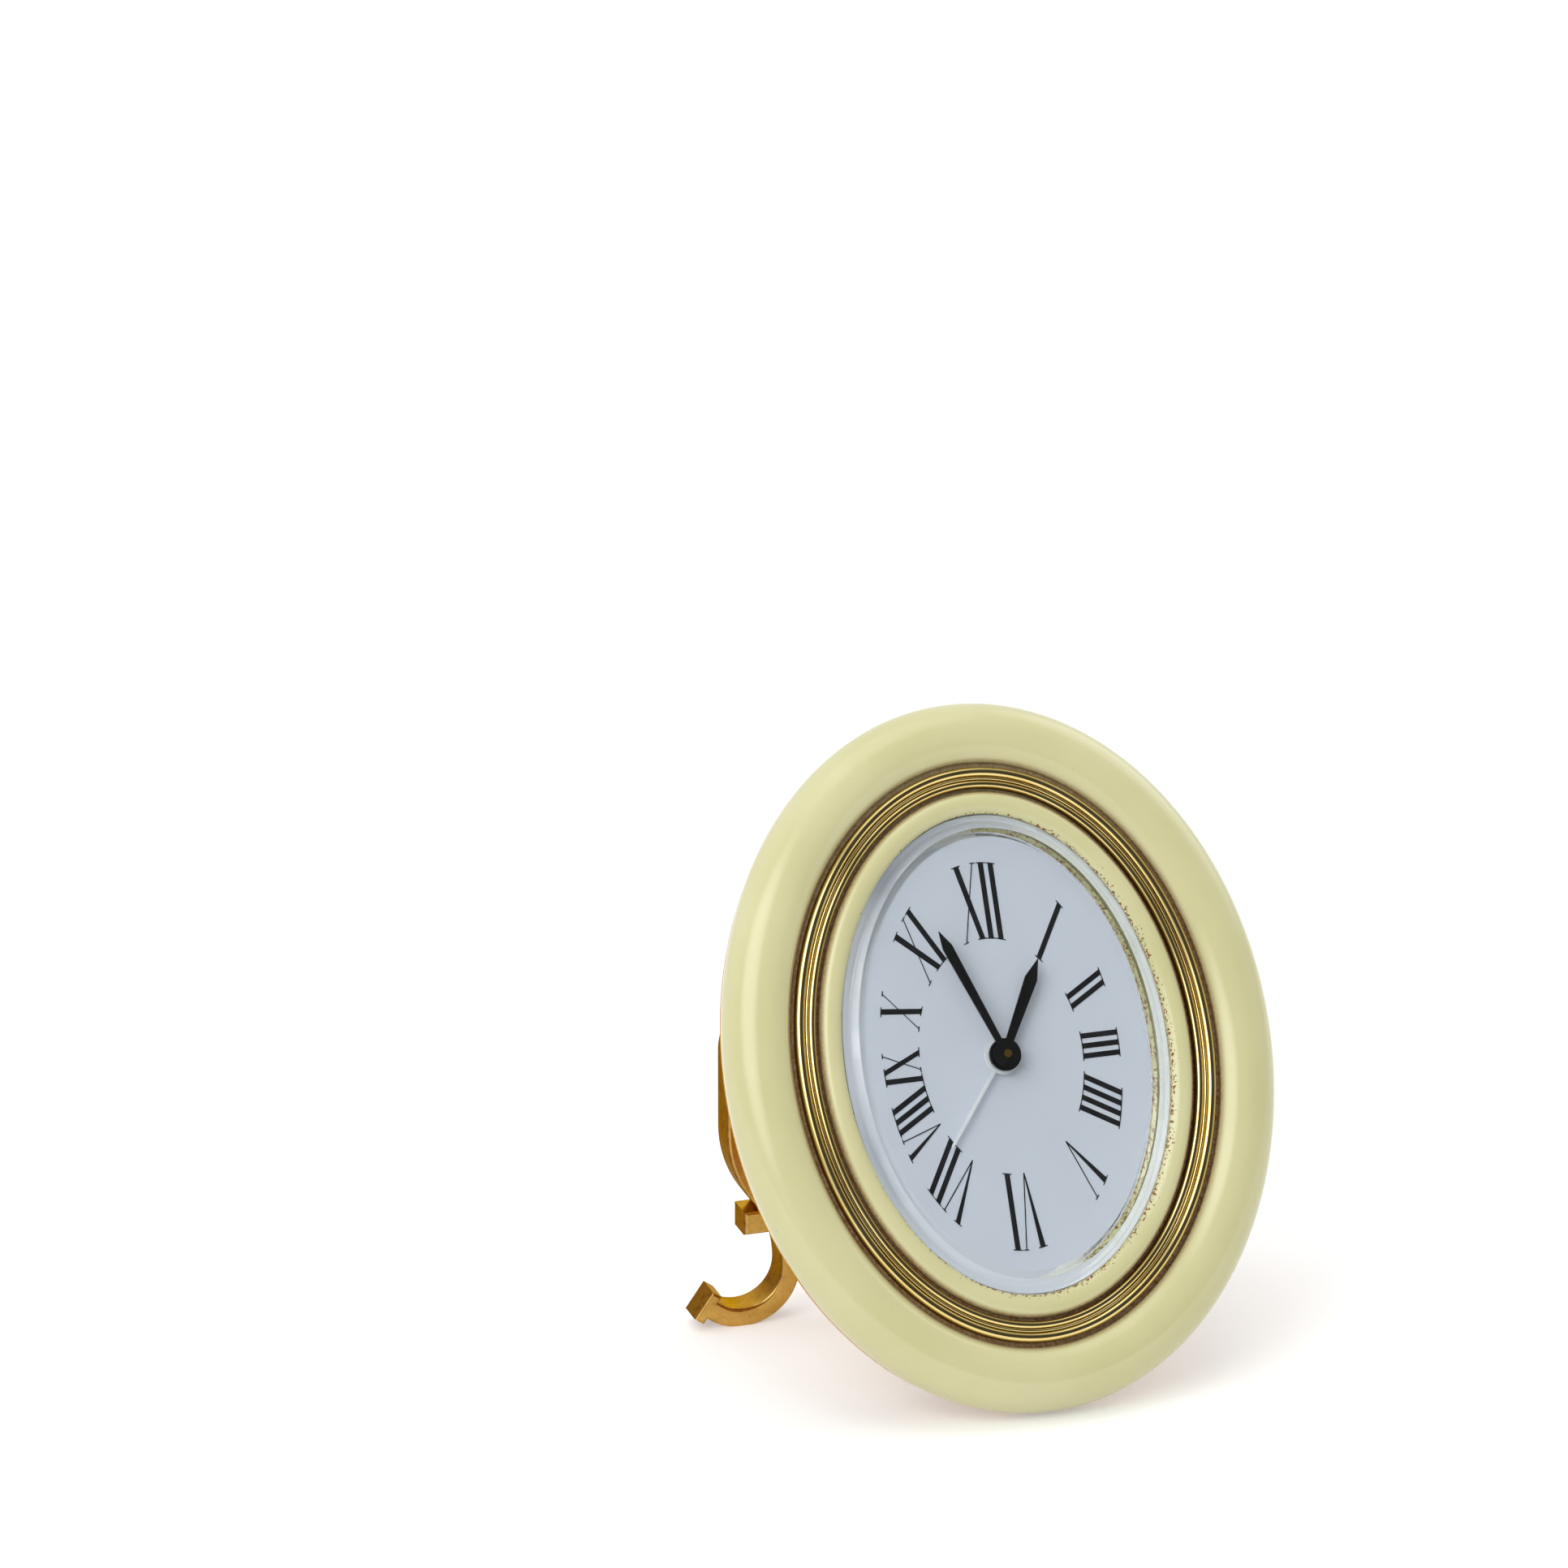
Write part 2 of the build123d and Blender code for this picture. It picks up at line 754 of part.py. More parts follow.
# Coil: wound bobbin between two cheeks, lying on the stator's arms
coil_plane = Plane(
    origin=face_plane.from_local_coords(
        (coil_middle[0] - coil_length / 2, coil_middle[1], stator_thick + coil_radius - stator_depth)
    ),
    x_dir=face_plane.y_dir,
    z_dir=face_plane.x_dir,
)
with BuildPart() as coil:
    with BuildSketch(coil_plane):
        Circle(coil_radius - coil_winding_step)
    extrude(amount=coil_length)
    with BuildSketch(coil_plane, coil_plane.offset(coil_length - coil_cheek)):
        Circle(coil_radius)
    extrude(amount=coil_cheek)
write(coil, "coil")

# Movement ring: white holder that clamps the dial against the case ring
holder_width = half_width - dial_inset
holder_height = half_height - dial_inset
ring_screws = [oval_point((dial_inset + ring_bore_inset) / 2, angle) for angle in ring_screw_angles]
with BuildPart() as movement_ring:
    with BuildSketch(at(plate_top)):
        Ellipse(holder_width, holder_height)
        Ellipse(half_width - ring_bore_inset, half_height - ring_bore_inset, mode=Mode.SUBTRACT)
    extrude(amount=plate_top - dial_thick)
    with BuildSketch(at(plate_top)):
        with Locations(*ring_screws):
            Circle(screw_radius)
    extrude(amount=screw_bite, mode=Mode.SUBTRACT)
write(movement_ring, "movement_ring")


def corners(width, height, centre_rise, margin):
    x, y = width / 2 - margin, height / 2 - margin
    return [(i * x, centre_rise + j * y) for i in (-1, 1) for j in (-1, 1)]


pillars = corners(rear_plate_width, rear_plate_height, rear_plate_rise, pillar_margin)
cell_centre = (0, -cell_drop)
board_centre = (0, board_rise)
plate_back = plate_top + plate_thick

# Main plate with its pillars and battery well
with BuildPart() as main_plate:
    with BuildSketch(at(plate_back)):
        Ellipse(holder_width, holder_height)
    extrude(amount=plate_thick)
    with BuildSketch(at(rear_face)):
        with Locations(*pillars):
            Circle(pillar_radius)
    extrude(amount=rear_face - plate_back)
    with BuildSketch(at(plate_back + well_depth)):
        with Locations(cell_centre):
            Circle(cell_radius + clearance + well_wall)
            Circle(cell_radius + clearance, mode=Mode.SUBTRACT)
        with Locations(plus(cell_centre, (cell_radius + well_wall, 0))):
            Rectangle(3 * well_wall, contact_width + 2 * clearance, mode=Mode.SUBTRACT)
    extrude(amount=well_depth)
    with BuildSketch(at(plate_back)):
        Circle(arbor_radius + running_gap)
        with Locations(minute_centre, idler_centre, third_centre, rotor_centre):
            Circle(pivot_radius + running_gap)
        with Locations(time_centre, alarm_centre):
            Circle(stem_radius + running_gap)
        with Locations(*ring_screws):
            Circle(screw_radius + clearance)
    extrude(amount=plate_thick, mode=Mode.SUBTRACT)
    with BuildSketch(at(rear_face)):
        with Locations(*pillars):
            Circle(screw_radius)
    extrude(amount=screw_bite, mode=Mode.SUBTRACT)
write(main_plate, "main_plate")


def slotted_screws(places, seat_depth, shank):
    # Cheese-headed screws whose heads sit behind the plane at seat_depth
    with BuildSketch(at(seat_depth + screw_head_thick)) as heads:
        with Locations(*places):
            Circle(screw_head)
    extrude(heads.sketch, amount=screw_head_thick)
    with BuildSketch(at(seat_depth)) as shanks:
        with Locations(*places):
            Circle(screw_radius)
    extrude(shanks.sketch, amount=shank)
    with BuildSketch(at(seat_depth + screw_head_thick)) as slots:
        with Locations(*places):
            Rectangle(2 * screw_head + overrun, screw_slot)
    extrude(slots.sketch, amount=screw_head_thick / 2, mode=Mode.SUBTRACT)


# Screws that hold the main plate to the movement ring
with BuildPart() as movement_screws:
    slotted_screws(ring_screws, plate_back, plate_thick + screw_bite)
write(movement_screws, "movement_screws")

# Rear plate of the movement
with BuildPart() as rear_plate:
    with BuildSketch(at(rear_plate_depth)):
        with Locations((0, rear_plate_rise)):
            RectangleRounded(rear_plate_width, rear_plate_height, rear_plate_corner)
        with Locations(third_centre, rotor_centre):
            Circle(pivot_radius + running_gap, mode=Mode.SUBTRACT)
        with Locations(time_centre, alarm_centre):
            Circle(stem_radius + running_gap, mode=Mode.SUBTRACT)
        with Locations(*pillars):
            Circle(screw_radius + clearance, mode=Mode.SUBTRACT)
    extrude(amount=rear_plate_thick)
    with BuildSketch(at(rear_plate_depth)):
        with Locations(stator_rivet):
            Circle(pivot_radius)
    extrude(amount=rear_plate_depth - stator_depth)
write(rear_plate, "rear_plate")

# Screws that hold the rear plate to the pillars
with BuildPart() as plate_screws:
    slotted_screws(pillars, rear_plate_depth, rear_plate_thick + screw_bite)
write(plate_screws, "plate_screws")

# Circuit board, its chip and the quartz can
with BuildPart() as circuit_board:
    with BuildSketch(at(plate_back + board_thick)):
        with Locations(board_centre):
            RectangleRounded(board_width, board_height, board_thick)
    extrude(amount=board_thick)
write(circuit_board, "circuit_board")

board_back = plate_back + board_thick
with BuildPart() as timing_chip:
    with BuildSketch(at(board_back + chip_thick)):
        with Locations(plus(board_centre, (-board_width / 4, 0))):
            RectangleRounded(chip_side, chip_side, chip_side / 4)
    extrude(amount=chip_thick)
    fillet(timing_chip.faces().sort_by(face_axis)[0].edges(), chip_thick / 3)
write(timing_chip, "timing_chip")

can_plane = Plane(
    origin=face_plane.from_local_coords(
        (board_width / 4 - can_length / 2, board_rise, -board_back - can_radius)
    ),
    x_dir=face_plane.y_dir,
    z_dir=face_plane.x_dir,
)
with BuildPart() as quartz_can:
    with BuildSketch(can_plane):
        Circle(can_radius)
    extrude(amount=can_length)
    fillet(quartz_can.faces().sort_by(Axis.X)[-1].edges(), can_radius / 3)
write(quartz_can, "quartz_can")

# Leaf contact on the board: the alarm button's end closes it
with BuildPart() as switch_leaf:
    with BuildSketch(at(board_back + leaf_thick)):
        with Locations((0, button_place - leaf_length / 2 + leaf_width / 2)):
            Rectangle(leaf_width, leaf_length)
    extrude(amount=leaf_thick)
write(switch_leaf, "switch_leaf")

# Battery cell with its two contacts
cell_front = plate_back + contact_thick
with BuildPart() as battery_cell:
    with BuildSketch(at(cell_front + cell_thick)):
        with Locations(cell_centre):
            Circle(cell_radius)
    extrude(amount=cell_thick)
    fillet(battery_cell.edges(), contact_thick)
write(battery_cell, "battery_cell")

with BuildPart() as centre_contact:
    with BuildSketch(at(cell_front)):
        with Locations(cell_centre):
            Circle(cell_radius / 2)
        with Locations(plus(cell_centre, (0, cell_radius / 2))):
            Rectangle(contact_width, cell_radius)
    extrude(amount=contact_thick)
write(centre_contact, "centre_contact")

with BuildPart() as side_contact:
    with BuildSketch(at(plate_back + well_depth)):
        with Locations(plus(cell_centre, (cell_radius + contact_thick / 2, 0))):
            Rectangle(contact_thick, contact_width)
    extrude(amount=well_depth)
    with BuildSketch(at(cell_front)):
        with Locations(plus(cell_centre, (cell_radius + well_wall + contact_thick, 0))):
            Rectangle(2 * well_wall + 2 * contact_thick, contact_width)
    extrude(amount=contact_thick)
write(side_contact, "side_contact")

# Leaf that the alarm wheel closes, on a post of the main plate
alarm_leaf_place = (0, alarm_teeth * motion_module / 2 + leaf_length)
with BuildPart() as alarm_contact:
    with BuildSketch(at(plate_top)):
        with Locations(alarm_leaf_place):
            RectangleRounded(leaf_width, leaf_width, leaf_width / 4)
    extrude(amount=plate_top - alarm_wheel_depth)
    with BuildSketch(at(alarm_wheel_depth)):
        with Locations((0, alarm_leaf_place[1] - leaf_length / 2 + leaf_width / 2)):
            Rectangle(leaf_width / 2, leaf_length)
    extrude(amount=leaf_thick)
write(alarm_contact, "alarm_contact")

# Case body: gilt flange behind the case ring, and an oval drum whose bosses hold the main plate
cover_front = drum_back - cover_thick
boss_inset = half_width - drum_width + lip_wall + boss_radius
cover_screw_places = [oval_point(boss_inset, angle) for angle in cover_screw_angles]
with BuildPart() as case_body:
    with BuildSketch(at(ring_back + flange_thick)):
        Ellipse(half_width - flange_inset, half_height - flange_inset)
    extrude(amount=flange_thick)
    fillet(case_body.faces().sort_by(face_axis)[0].edges(), flange_round)
    with BuildSketch(at(drum_back)):
        Ellipse(drum_width, drum_height)
    extrude(amount=drum_back - ring_back - flange_thick)
    fillet(case_body.faces().sort_by(face_axis)[0].edges(), drum_round)
    with BuildSketch(at(cover_front - ledge_width)):
        Ellipse(drum_width - drum_wall, drum_height - drum_wall)
    extrude(amount=cover_front - ledge_width - ring_back, mode=Mode.SUBTRACT)
    with BuildSketch(at(cover_front)):
        Ellipse(drum_width - lip_wall - ledge_width, drum_height - lip_wall - ledge_width)
    extrude(amount=ledge_width, mode=Mode.SUBTRACT)
    with BuildSketch(at(drum_back)):
        Ellipse(drum_width - lip_wall, drum_height - lip_wall)
    extrude(amount=cover_thick, mode=Mode.SUBTRACT)
    with BuildSketch(at(cover_front)):
        with Locations(*cover_screw_places):
            Circle(boss_radius)
        Ellipse(drum_width - drum_wall / 2, drum_height - drum_wall / 2, mode=Mode.INTERSECT)
    extrude(amount=cover_front - plate_back)
    with BuildSketch(at(cover_front)):
        with Locations(*cover_screw_places):
            Circle(screw_radius)
    extrude(amount=screw_bite, mode=Mode.SUBTRACT)
    with BuildSketch(at(ring_back + flange_thick)):
        with Locations(*case_screw_places):
            Circle(screw_radius + clearance)
    extrude(amount=flange_thick, mode=Mode.SUBTRACT)
write(case_body, "case_body")

# Screws through the flange into the case ring
with BuildPart() as case_screws:
    slotted_screws(case_screw_places, ring_back + flange_thick, flange_thick + screw_bite)
write(case_screws, "case_screws")

# Back cover with its openings
button_centre = (0, button_place)
vent_row = [((i - (vents - 1) / 2) * vent_pitch, sounder_rise) for i in range(vents)]
bracket_screw_places = [(side * (bracket_half - screw_head - pin_head_thick), hinge_rise) for side in (-1, 1)]
with BuildPart() as back_cover:
    with BuildSketch(at(drum_back)):
        Ellipse(drum_width - lip_wall - clearance, drum_height - lip_wall - clearance)
    extrude(amount=cover_thick)
    chamfer(back_cover.faces().sort_by(face_axis)[0].edges(), clearance * 2)
    with BuildSketch(at(drum_back)):
        with Locations(cell_centre):
            Circle(hatch_radius + running_gap)
        with Locations(time_centre, alarm_centre):
            Circle(stem_radius + running_gap)
        with Locations(button_centre):
            Circle(button_radius + running_gap)
        with Locations(*vent_row):
            Circle(vent_radius)
        with Locations(*bracket_screw_places):
            Circle(screw_radius)
        with Locations(*cover_screw_places):
            Circle(screw_radius + clearance)
    extrude(amount=cover_thick, mode=Mode.SUBTRACT)
    with BuildSketch(at(cover_front)):
        with Locations(cell_centre):
            Circle(hatch_radius + hatch_rim)
            Circle(hatch_radius - hatch_rim, mode=Mode.SUBTRACT)
            Rectangle(2 * (hatch_radius + hatch_rim), 2 * (lug_half + clearance), mode=Mode.SUBTRACT)
    extrude(amount=hatch_step)
write(back_cover, "back_cover")

with BuildPart() as cover_screws:
    slotted_screws(cover_screw_places, drum_back, cover_thick + screw_bite)
write(cover_screws, "cover_screws")

# Seal in the hatch's underside, over the cover's ledge
lid_front = cover_front + running_gap
seal_inner = hatch_radius - hatch_rim + clearance
with BuildPart() as hatch_seal:
    with BuildSketch(at(lid_front + seal_thick)):
        with Locations(cell_centre):
            Circle(seal_inner + seal_width)
            Circle(seal_inner, mode=Mode.SUBTRACT)
    extrude(amount=seal_thick)
write(hatch_seal, "hatch_seal")

# Battery hatch: coin-slotted lid with a skirt and two bayonet lugs
skirt_radius = hatch_radius - hatch_rim - running_gap
lug_back = cover_front - hatch_step - running_gap
with BuildPart() as battery_hatch:
    with BuildSketch(at(drum_back)):
        with Locations(cell_centre):
            Circle(hatch_radius)
    extrude(amount=drum_back - lid_front)
    with BuildSketch(at(lid_front)):
        with Locations(cell_centre):
            Circle(skirt_radius)
            Circle(skirt_radius - hatch_skirt, mode=Mode.SUBTRACT)
    extrude(amount=lid_front - lug_back + lug_thick)
    with BuildSketch(at(lug_back)):
        with Locations(cell_centre):
            Circle(hatch_radius)
            Circle(skirt_radius - hatch_skirt, mode=Mode.SUBTRACT)
            Rectangle(2 * lug_half, 2 * hatch_radius, mode=Mode.INTERSECT)
    extrude(amount=lug_thick)
    with BuildSketch(at(lid_front + seal_thick)):
        with Locations(cell_centre):
            Circle(seal_inner + seal_width + running_gap)
            Circle(seal_inner - running_gap, mode=Mode.SUBTRACT)
    extrude(amount=seal_thick, mode=Mode.SUBTRACT)
    with BuildSketch(at(drum_back)):
        with Locations(cell_centre):
            SlotOverall(2 * hatch_radius - 2 * hatch_rim, slot_width)
    extrude(amount=slot_depth, mode=Mode.SUBTRACT)
write(battery_hatch, "battery_hatch")

# Sounder disc glued to the inside of the back cover
with BuildPart() as sounder_disc:
    with BuildSketch(at(cover_front)):
        with Locations((0, sounder_rise)):
            Circle(sounder_radius)
    extrude(amount=sounder_thick)
write(sounder_disc, "sounder_disc")

# Alarm button: domed cap, flange inside the cover, stem towards the leaf
button_back = drum_back + button_rise
flange_back = cover_front - running_gap
with BuildPart() as alarm_button:
    with BuildSketch(at(button_back)):
        with Locations(button_centre):
            Circle(button_radius)
    extrude(amount=button_back - flange_back)
    fillet(alarm_button.faces().sort_by(face_axis)[0].edges(), button_rise / 3)
    with BuildSketch(at(flange_back)):
        with Locations(button_centre):
            Circle(button_radius + button_flange)
    extrude(amount=button_flange_thick)
    with BuildSketch(at(flange_back)):
        with Locations(button_centre):
            Circle(button_stem)
    extrude(amount=button_flange_thick + button_stem_length)
write(alarm_button, "alarm_button")


def setting_stem(centre, wheel_depth, first_tooth):
    # Steel stem from the knob's socket to its pinion, with a collar behind the main plate
    stem_back = drum_back + knob_gap + stem_socket
    with BuildSketch(at(stem_back)) as shaft:
        with Locations(centre):
            Circle(stem_radius)
    extrude(shaft.sketch, amount=stem_back - wheel_depth)
    with BuildSketch(at(plate_back + running_gap + collar_thick)) as collar:
        with Locations(centre):
            Circle(collar_radius)
    extrude(collar.sketch, amount=collar_thick)
    with BuildSketch(at(wheel_depth)) as leaves:
        Polygon(*moved(toothed(stem_teeth, motion_module, first_tooth), centre), align=None)
    extrude(leaves.sketch, amount=wheel_thick)


def setting_knob(centre):
    # Grooved knob with a blind socket for the stem
    knob_front = drum_back + knob_gap
    with BuildSketch(at(knob_front + knob_thick)) as disc:
        with Locations(centre):
            Circle(knob_radius)
    body = extrude(disc.sketch, amount=knob_thick)
    fillet(body.faces().sort_by(face_axis)[0].edges(), knob_round)
    with BuildSketch(at(knob_front + knob_thick)) as grooves:
        with Locations(centre):
            with PolarLocations(knob_radius, knob_grooves):
                Circle(groove_radius)
    extrude(grooves.sketch, amount=knob_thick, mode=Mode.SUBTRACT)
    with BuildSketch(at(knob_front + stem_socket)) as socket:
        with Locations(centre):
            Circle(stem_radius)
    extrude(socket.sketch, amount=stem_socket, mode=Mode.SUBTRACT)


# Time setting: stem and knob
with BuildPart() as time_stem:
    setting_stem(time_centre, minute_wheel_depth, gap_facing(stem_teeth, knob_angle + 180))
write(time_stem, "time_stem")
with BuildPart() as time_knob:
    setting_knob(time_centre)
write(time_knob, "time_knob")

# Alarm setting: stem and knob
with BuildPart() as alarm_stem:
    setting_stem(alarm_centre, alarm_wheel_depth, alarm_way + 180)
write(alarm_stem, "alarm_stem")
with BuildPart() as alarm_knob:
    setting_knob(alarm_centre)
write(alarm_knob, "alarm_knob")

# Hinge axis, across the back
axis_depth = drum_back + bracket_thick + fold_gap + strut_depth / 2
hinge_point = face_plane.from_local_coords((0, hinge_rise, -axis_depth))
strut_y = hinge_point.Y
hinge_z = hinge_point.Z
ear_start = knuckle_half + ear_gap


def across(x):
    # Section of the hinge at x, with its local y pointing at the dial
    return Plane(origin=(x, hinge_point.Y, hinge_point.Z), x_dir=face_plane.y_dir, z_dir=face_plane.x_dir)


# Hinge bracket: base plate and two ears
with BuildPart() as hinge_bracket:
    with BuildSketch(at(drum_back + bracket_thick)):
        with Locations((0, hinge_rise)):
            RectangleRounded(2 * bracket_half, bracket_height, bracket_height / 4)
        with Locations(*bracket_screw_places):
            Circle(screw_radius + clearance, mode=Mode.SUBTRACT)
    extrude(amount=bracket_thick)
    for ear_x in (-ear_start - ear_width, ear_start):
        with BuildSketch(across(ear_x)):
            Circle(ear_radius)
            with Locations((0, (axis_depth - drum_back - bracket_thick) / 2)):
                Rectangle(2 * ear_radius, axis_depth - drum_back - bracket_thick)
            Circle(pin_radius, mode=Mode.SUBTRACT)
        extrude(amount=ear_width)
write(hinge_bracket, "hinge_bracket")

# Screws that hold the bracket to the back cover
with BuildPart() as bracket_screws:
    slotted_screws(bracket_screw_places, drum_back + bracket_thick, bracket_thick + cover_thick)
write(bracket_screws, "bracket_screws")

# Hinge pin with two riveted heads
pin_half = ear_start + ear_width
with BuildPart() as hinge_pin:
    with BuildSketch(across(-pin_half)):
        Circle(pin_radius)
    extrude(amount=2 * pin_half)
    for head_x in (-pin_half - pin_head_thick, pin_half):
        with BuildSketch(across(head_x)):
            Circle(pin_head)
        extrude(amount=pin_head_thick)
    fillet(hinge_pin.faces().sort_by(Axis.X)[0].edges(), pin_head_thick / 2)
    fillet(hinge_pin.faces().sort_by(Axis.X)[-1].edges(), pin_head_thick / 2)
write(hinge_pin, "hinge_pin")

# Friction washers between knuckle and ears
with BuildPart() as hinge_washers:
    for washer_x in (-ear_start, knuckle_half):
        with BuildSketch(across(washer_x)):
            Circle(washer_radius)
            Circle(pin_radius, mode=Mode.SUBTRACT)
        extrude(amount=ear_gap)
write(hinge_washers, "hinge_washers")

# Strut: lyre-shaped band that stands upright behind the case on two scrolled feet
strut_top = hinge_z - bar_drop
strut_plane = Plane(origin=(0, strut_y + strut_depth / 2, 0), x_dir=(1, 0, 0), z_dir=(0, -1, 0))
knuckle_plane = Plane(origin=(-knuckle_half, strut_y, hinge_z), x_dir=(0, 1, 0), z_dir=(1, 0, 0))
web_height = bar_drop + strut_round + pin_radius
bar_level = strut_top - strut_band / 2
band_middle = strut_half - strut_band / 2
waist_level = scroll_radius + strut_band / 2 - scroll_flat
sway = 2 * atan2(band_middle - waist_half, side_level - waist_level)
sway_radius = (side_level - waist_level) / 2 / sin(sway)
with BuildPart() as strut:
    with BuildSketch(strut_plane):
        with BuildLine():
            bar = Line((0, bar_level), (band_middle - strut_corner, bar_level))
            corner = JernArc(bar @ 1, bar % 1, strut_corner, -90)
            side = Line(corner @ 1, (band_middle, side_level))
            shoulder = JernArc(side @ 1, side % 1, sway_radius, -degrees(sway))
            waist = JernArc(shoulder @ 1, shoulder % 1, sway_radius, degrees(sway))
            scroll = JernArc(waist @ 1, waist % 1, scroll_radius, 90 + scroll_turn)
            toe = Line(scroll @ 1, scroll @ 1 + (scroll % 1) * toe_reach)
        trace(line_width=strut_band)
        with Locations(Location(toe @ 1, (0, 0, scroll_turn))):
            Rectangle(toe_thick, toe_length)
        mirror(about=Plane.YZ)
        with Locations((0, rail_level)):
            Rectangle(2 * rail_half, rail_height)
    extrude(amount=strut_depth)
    rims = strut.faces().sort_by(Axis.Y)
    fillet(rims[0].edges() + rims[-1].edges(), strut_round)
    with BuildSketch(Plane.XY):
        with Locations((0, strut_y)):
            Rectangle(2 * half_width, 2 * strut_depth)
    extrude(amount=-strut_depth, mode=Mode.SUBTRACT)
    with BuildSketch(knuckle_plane):
        Circle(strut_depth / 2)
        with Locations((0, -web_height / 2)):
            Rectangle(strut_depth, web_height)
        Circle(pin_radius + running_gap, mode=Mode.SUBTRACT)
    extrude(amount=2 * knuckle_half)
write(strut, "strut")
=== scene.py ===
import json
import math

import bpy
from mathutils import Matrix, Vector


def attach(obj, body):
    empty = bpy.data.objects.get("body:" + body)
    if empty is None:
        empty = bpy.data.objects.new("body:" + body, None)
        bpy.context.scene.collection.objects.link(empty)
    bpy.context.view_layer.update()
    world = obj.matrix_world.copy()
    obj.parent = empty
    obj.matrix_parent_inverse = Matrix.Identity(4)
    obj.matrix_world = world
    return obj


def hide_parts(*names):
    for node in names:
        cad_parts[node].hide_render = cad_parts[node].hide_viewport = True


# oval travel alarm clock: enamelled ring, reeded brass trim, Roman dial and a gilt lyre-shaped strut
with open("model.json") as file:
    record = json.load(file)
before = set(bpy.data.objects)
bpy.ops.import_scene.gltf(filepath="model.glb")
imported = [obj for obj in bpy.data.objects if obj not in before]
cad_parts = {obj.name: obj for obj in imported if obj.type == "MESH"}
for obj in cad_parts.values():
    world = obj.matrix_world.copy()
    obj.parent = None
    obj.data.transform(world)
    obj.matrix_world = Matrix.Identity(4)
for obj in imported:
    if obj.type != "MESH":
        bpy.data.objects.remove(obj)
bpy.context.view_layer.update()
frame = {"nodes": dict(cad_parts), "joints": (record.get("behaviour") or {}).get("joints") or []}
nodes = frame["nodes"]
print("frame loaded:", len(nodes), "nodes")

# the dial's own axes, taken from the arbor that the minute hand turns on
minuteJoint = next(joint for joint in frame["joints"] if joint["name"] == "minute_turn")
dialCentre = Vector(minuteJoint["pos_m"])
dialNormal = -Vector(minuteJoint["axis"])
dialRight = Vector((1, 0, 0))
dialUp = dialNormal.cross(dialRight)


def onDial(x, y, level):
    # a place in millimetres on the dial's plane, as a point of the model
    return dialCentre + (dialRight * x + dialUp * y + dialNormal * level) / 1000


# camera: the photograph's view, worked out from the outline of the case; angles in degrees, lens and
# sensor in millimetres, the rest in metres
cameraView = {
    "azimuth": -17.9,
    "elevation": 20.62,
    "lens": 254.6,
    "sensor": 36,
    "distance": 1.315,
    "dialRightOfAxis": 0.0257,
    "dialBelowAxis": 0.0323,
    "farthest": 20,
}


def addCamera():
    azimuth = math.radians(cameraView["azimuth"])
    elevation = math.radians(cameraView["elevation"])
    forward = Vector((
        -math.sin(azimuth) * math.cos(elevation),
        math.cos(azimuth) * math.cos(elevation),
        -math.sin(elevation),
    ))
    right = forward.cross(Vector((0, 0, 1))).normalized()
    up = right.cross(forward)
    axisPoint = dialCentre - right * cameraView["dialRightOfAxis"] + up * cameraView["dialBelowAxis"]
    data = bpy.data.cameras.new("photoCamera")
    data.lens = cameraView["lens"]
    data.sensor_width = cameraView["sensor"]
    data.clip_end = cameraView["farthest"]
    camera = bpy.data.objects.new("photoCamera", data)
    bpy.context.scene.collection.objects.link(camera)
    turn = Matrix((right, up, -forward)).transposed().to_4x4()
    camera.matrix_world = Matrix.Translation(axisPoint - forward * cameraView["distance"]) @ turn
    bpy.context.scene.camera = camera


addCamera()
print("camera placed")


def linear(hexColour):
    # sRGB hex to the linear colour that the shaders expect
    channels = [int(hexColour[i:i + 2], 16) / 255 for i in (1, 3, 5)]
    return [c / 12.92 if c <= 0.04045 else ((c + 0.055) / 1.055) ** 2.4 for c in channels] + [1]


def add(tree, kind, settings=None, **links):
    # one node, with its settings by name; a socket is named, with _ for a space, or counted, as in i0,
    # and takes a value, another node's output or another node, which stands for its first output
    node = tree.nodes.new("ShaderNode" + kind)
    for name, value in (settings or {}).items():
        setattr(node, name, value)
    for name, value in links.items():
        socket = node.inputs[int(name[1:]) if name[1:].isdigit() else name.replace("_", " ")]
        if isinstance(value, bpy.types.Node):
            value = value.outputs[0]
        if isinstance(value, bpy.types.NodeSocket):
            tree.links.new(value, socket)
        else:
            socket.default_value = value
    return node


def startMaterial(name):
    material = bpy.data.materials.new(name)
    material.use_nodes = True
    tree = material.node_tree
    tree.nodes.clear()
    return material, tree


# sizes of patterns are in millimetres: cloud, patch, grit, ripple, spot and grain are the widths of
# their features, and the heights are the depths of bumps
# enamel: stove enamel on metal, a deep gloss with a faint ripple, brown wax caught in the channel by the
# brass, and beside it a painted brown reflection of the brass
enamelLook = {
    "colour": "#E4E0AE", "shade": "#DDD9A3", "cloud": 18, "mottle": (0.35, 0.65),
    "dirtAndShade": "#85521A", "patch": 0.4, "thinnest": 0.7,
    "grit": 0.3, "gritFrom": 0.52, "gritTo": 0.58, "sparse": 0.25,
    "roughness": 0.1, "dirtAndShadeRoughness": 0.6, "ior": 1.5,
    "ripple": 5, "rippleHeight": 0.02, "rippleStrength": 0.35,
}
# polished solid brass: small mirrors, pale yellow where rubbed, and brown dirt with a painted shade in the
# grooves
trimLook = {
    "colour": "#EFDA9A", "shade": "#E6CB82", "glance": "#F4E6B8", "cloud": 6, "mottle": (0.35, 0.65),
    "dirtAndShade": "#5A3A14", "spot": 0.5, "spotFrom": 0.6, "spotTo": 0.8, "spotting": 0.12,
    "tarnishAndShadeSides": 0, "sidesFrom": 0.3, "sidesTo": 0.85,
    "roughness": 0.13, "dirtAndShadeRoughness": 0.55,
    "grain": 0.8, "grainHeight": 0.002, "grainStrength": 0.4, "brushed": 1,
}
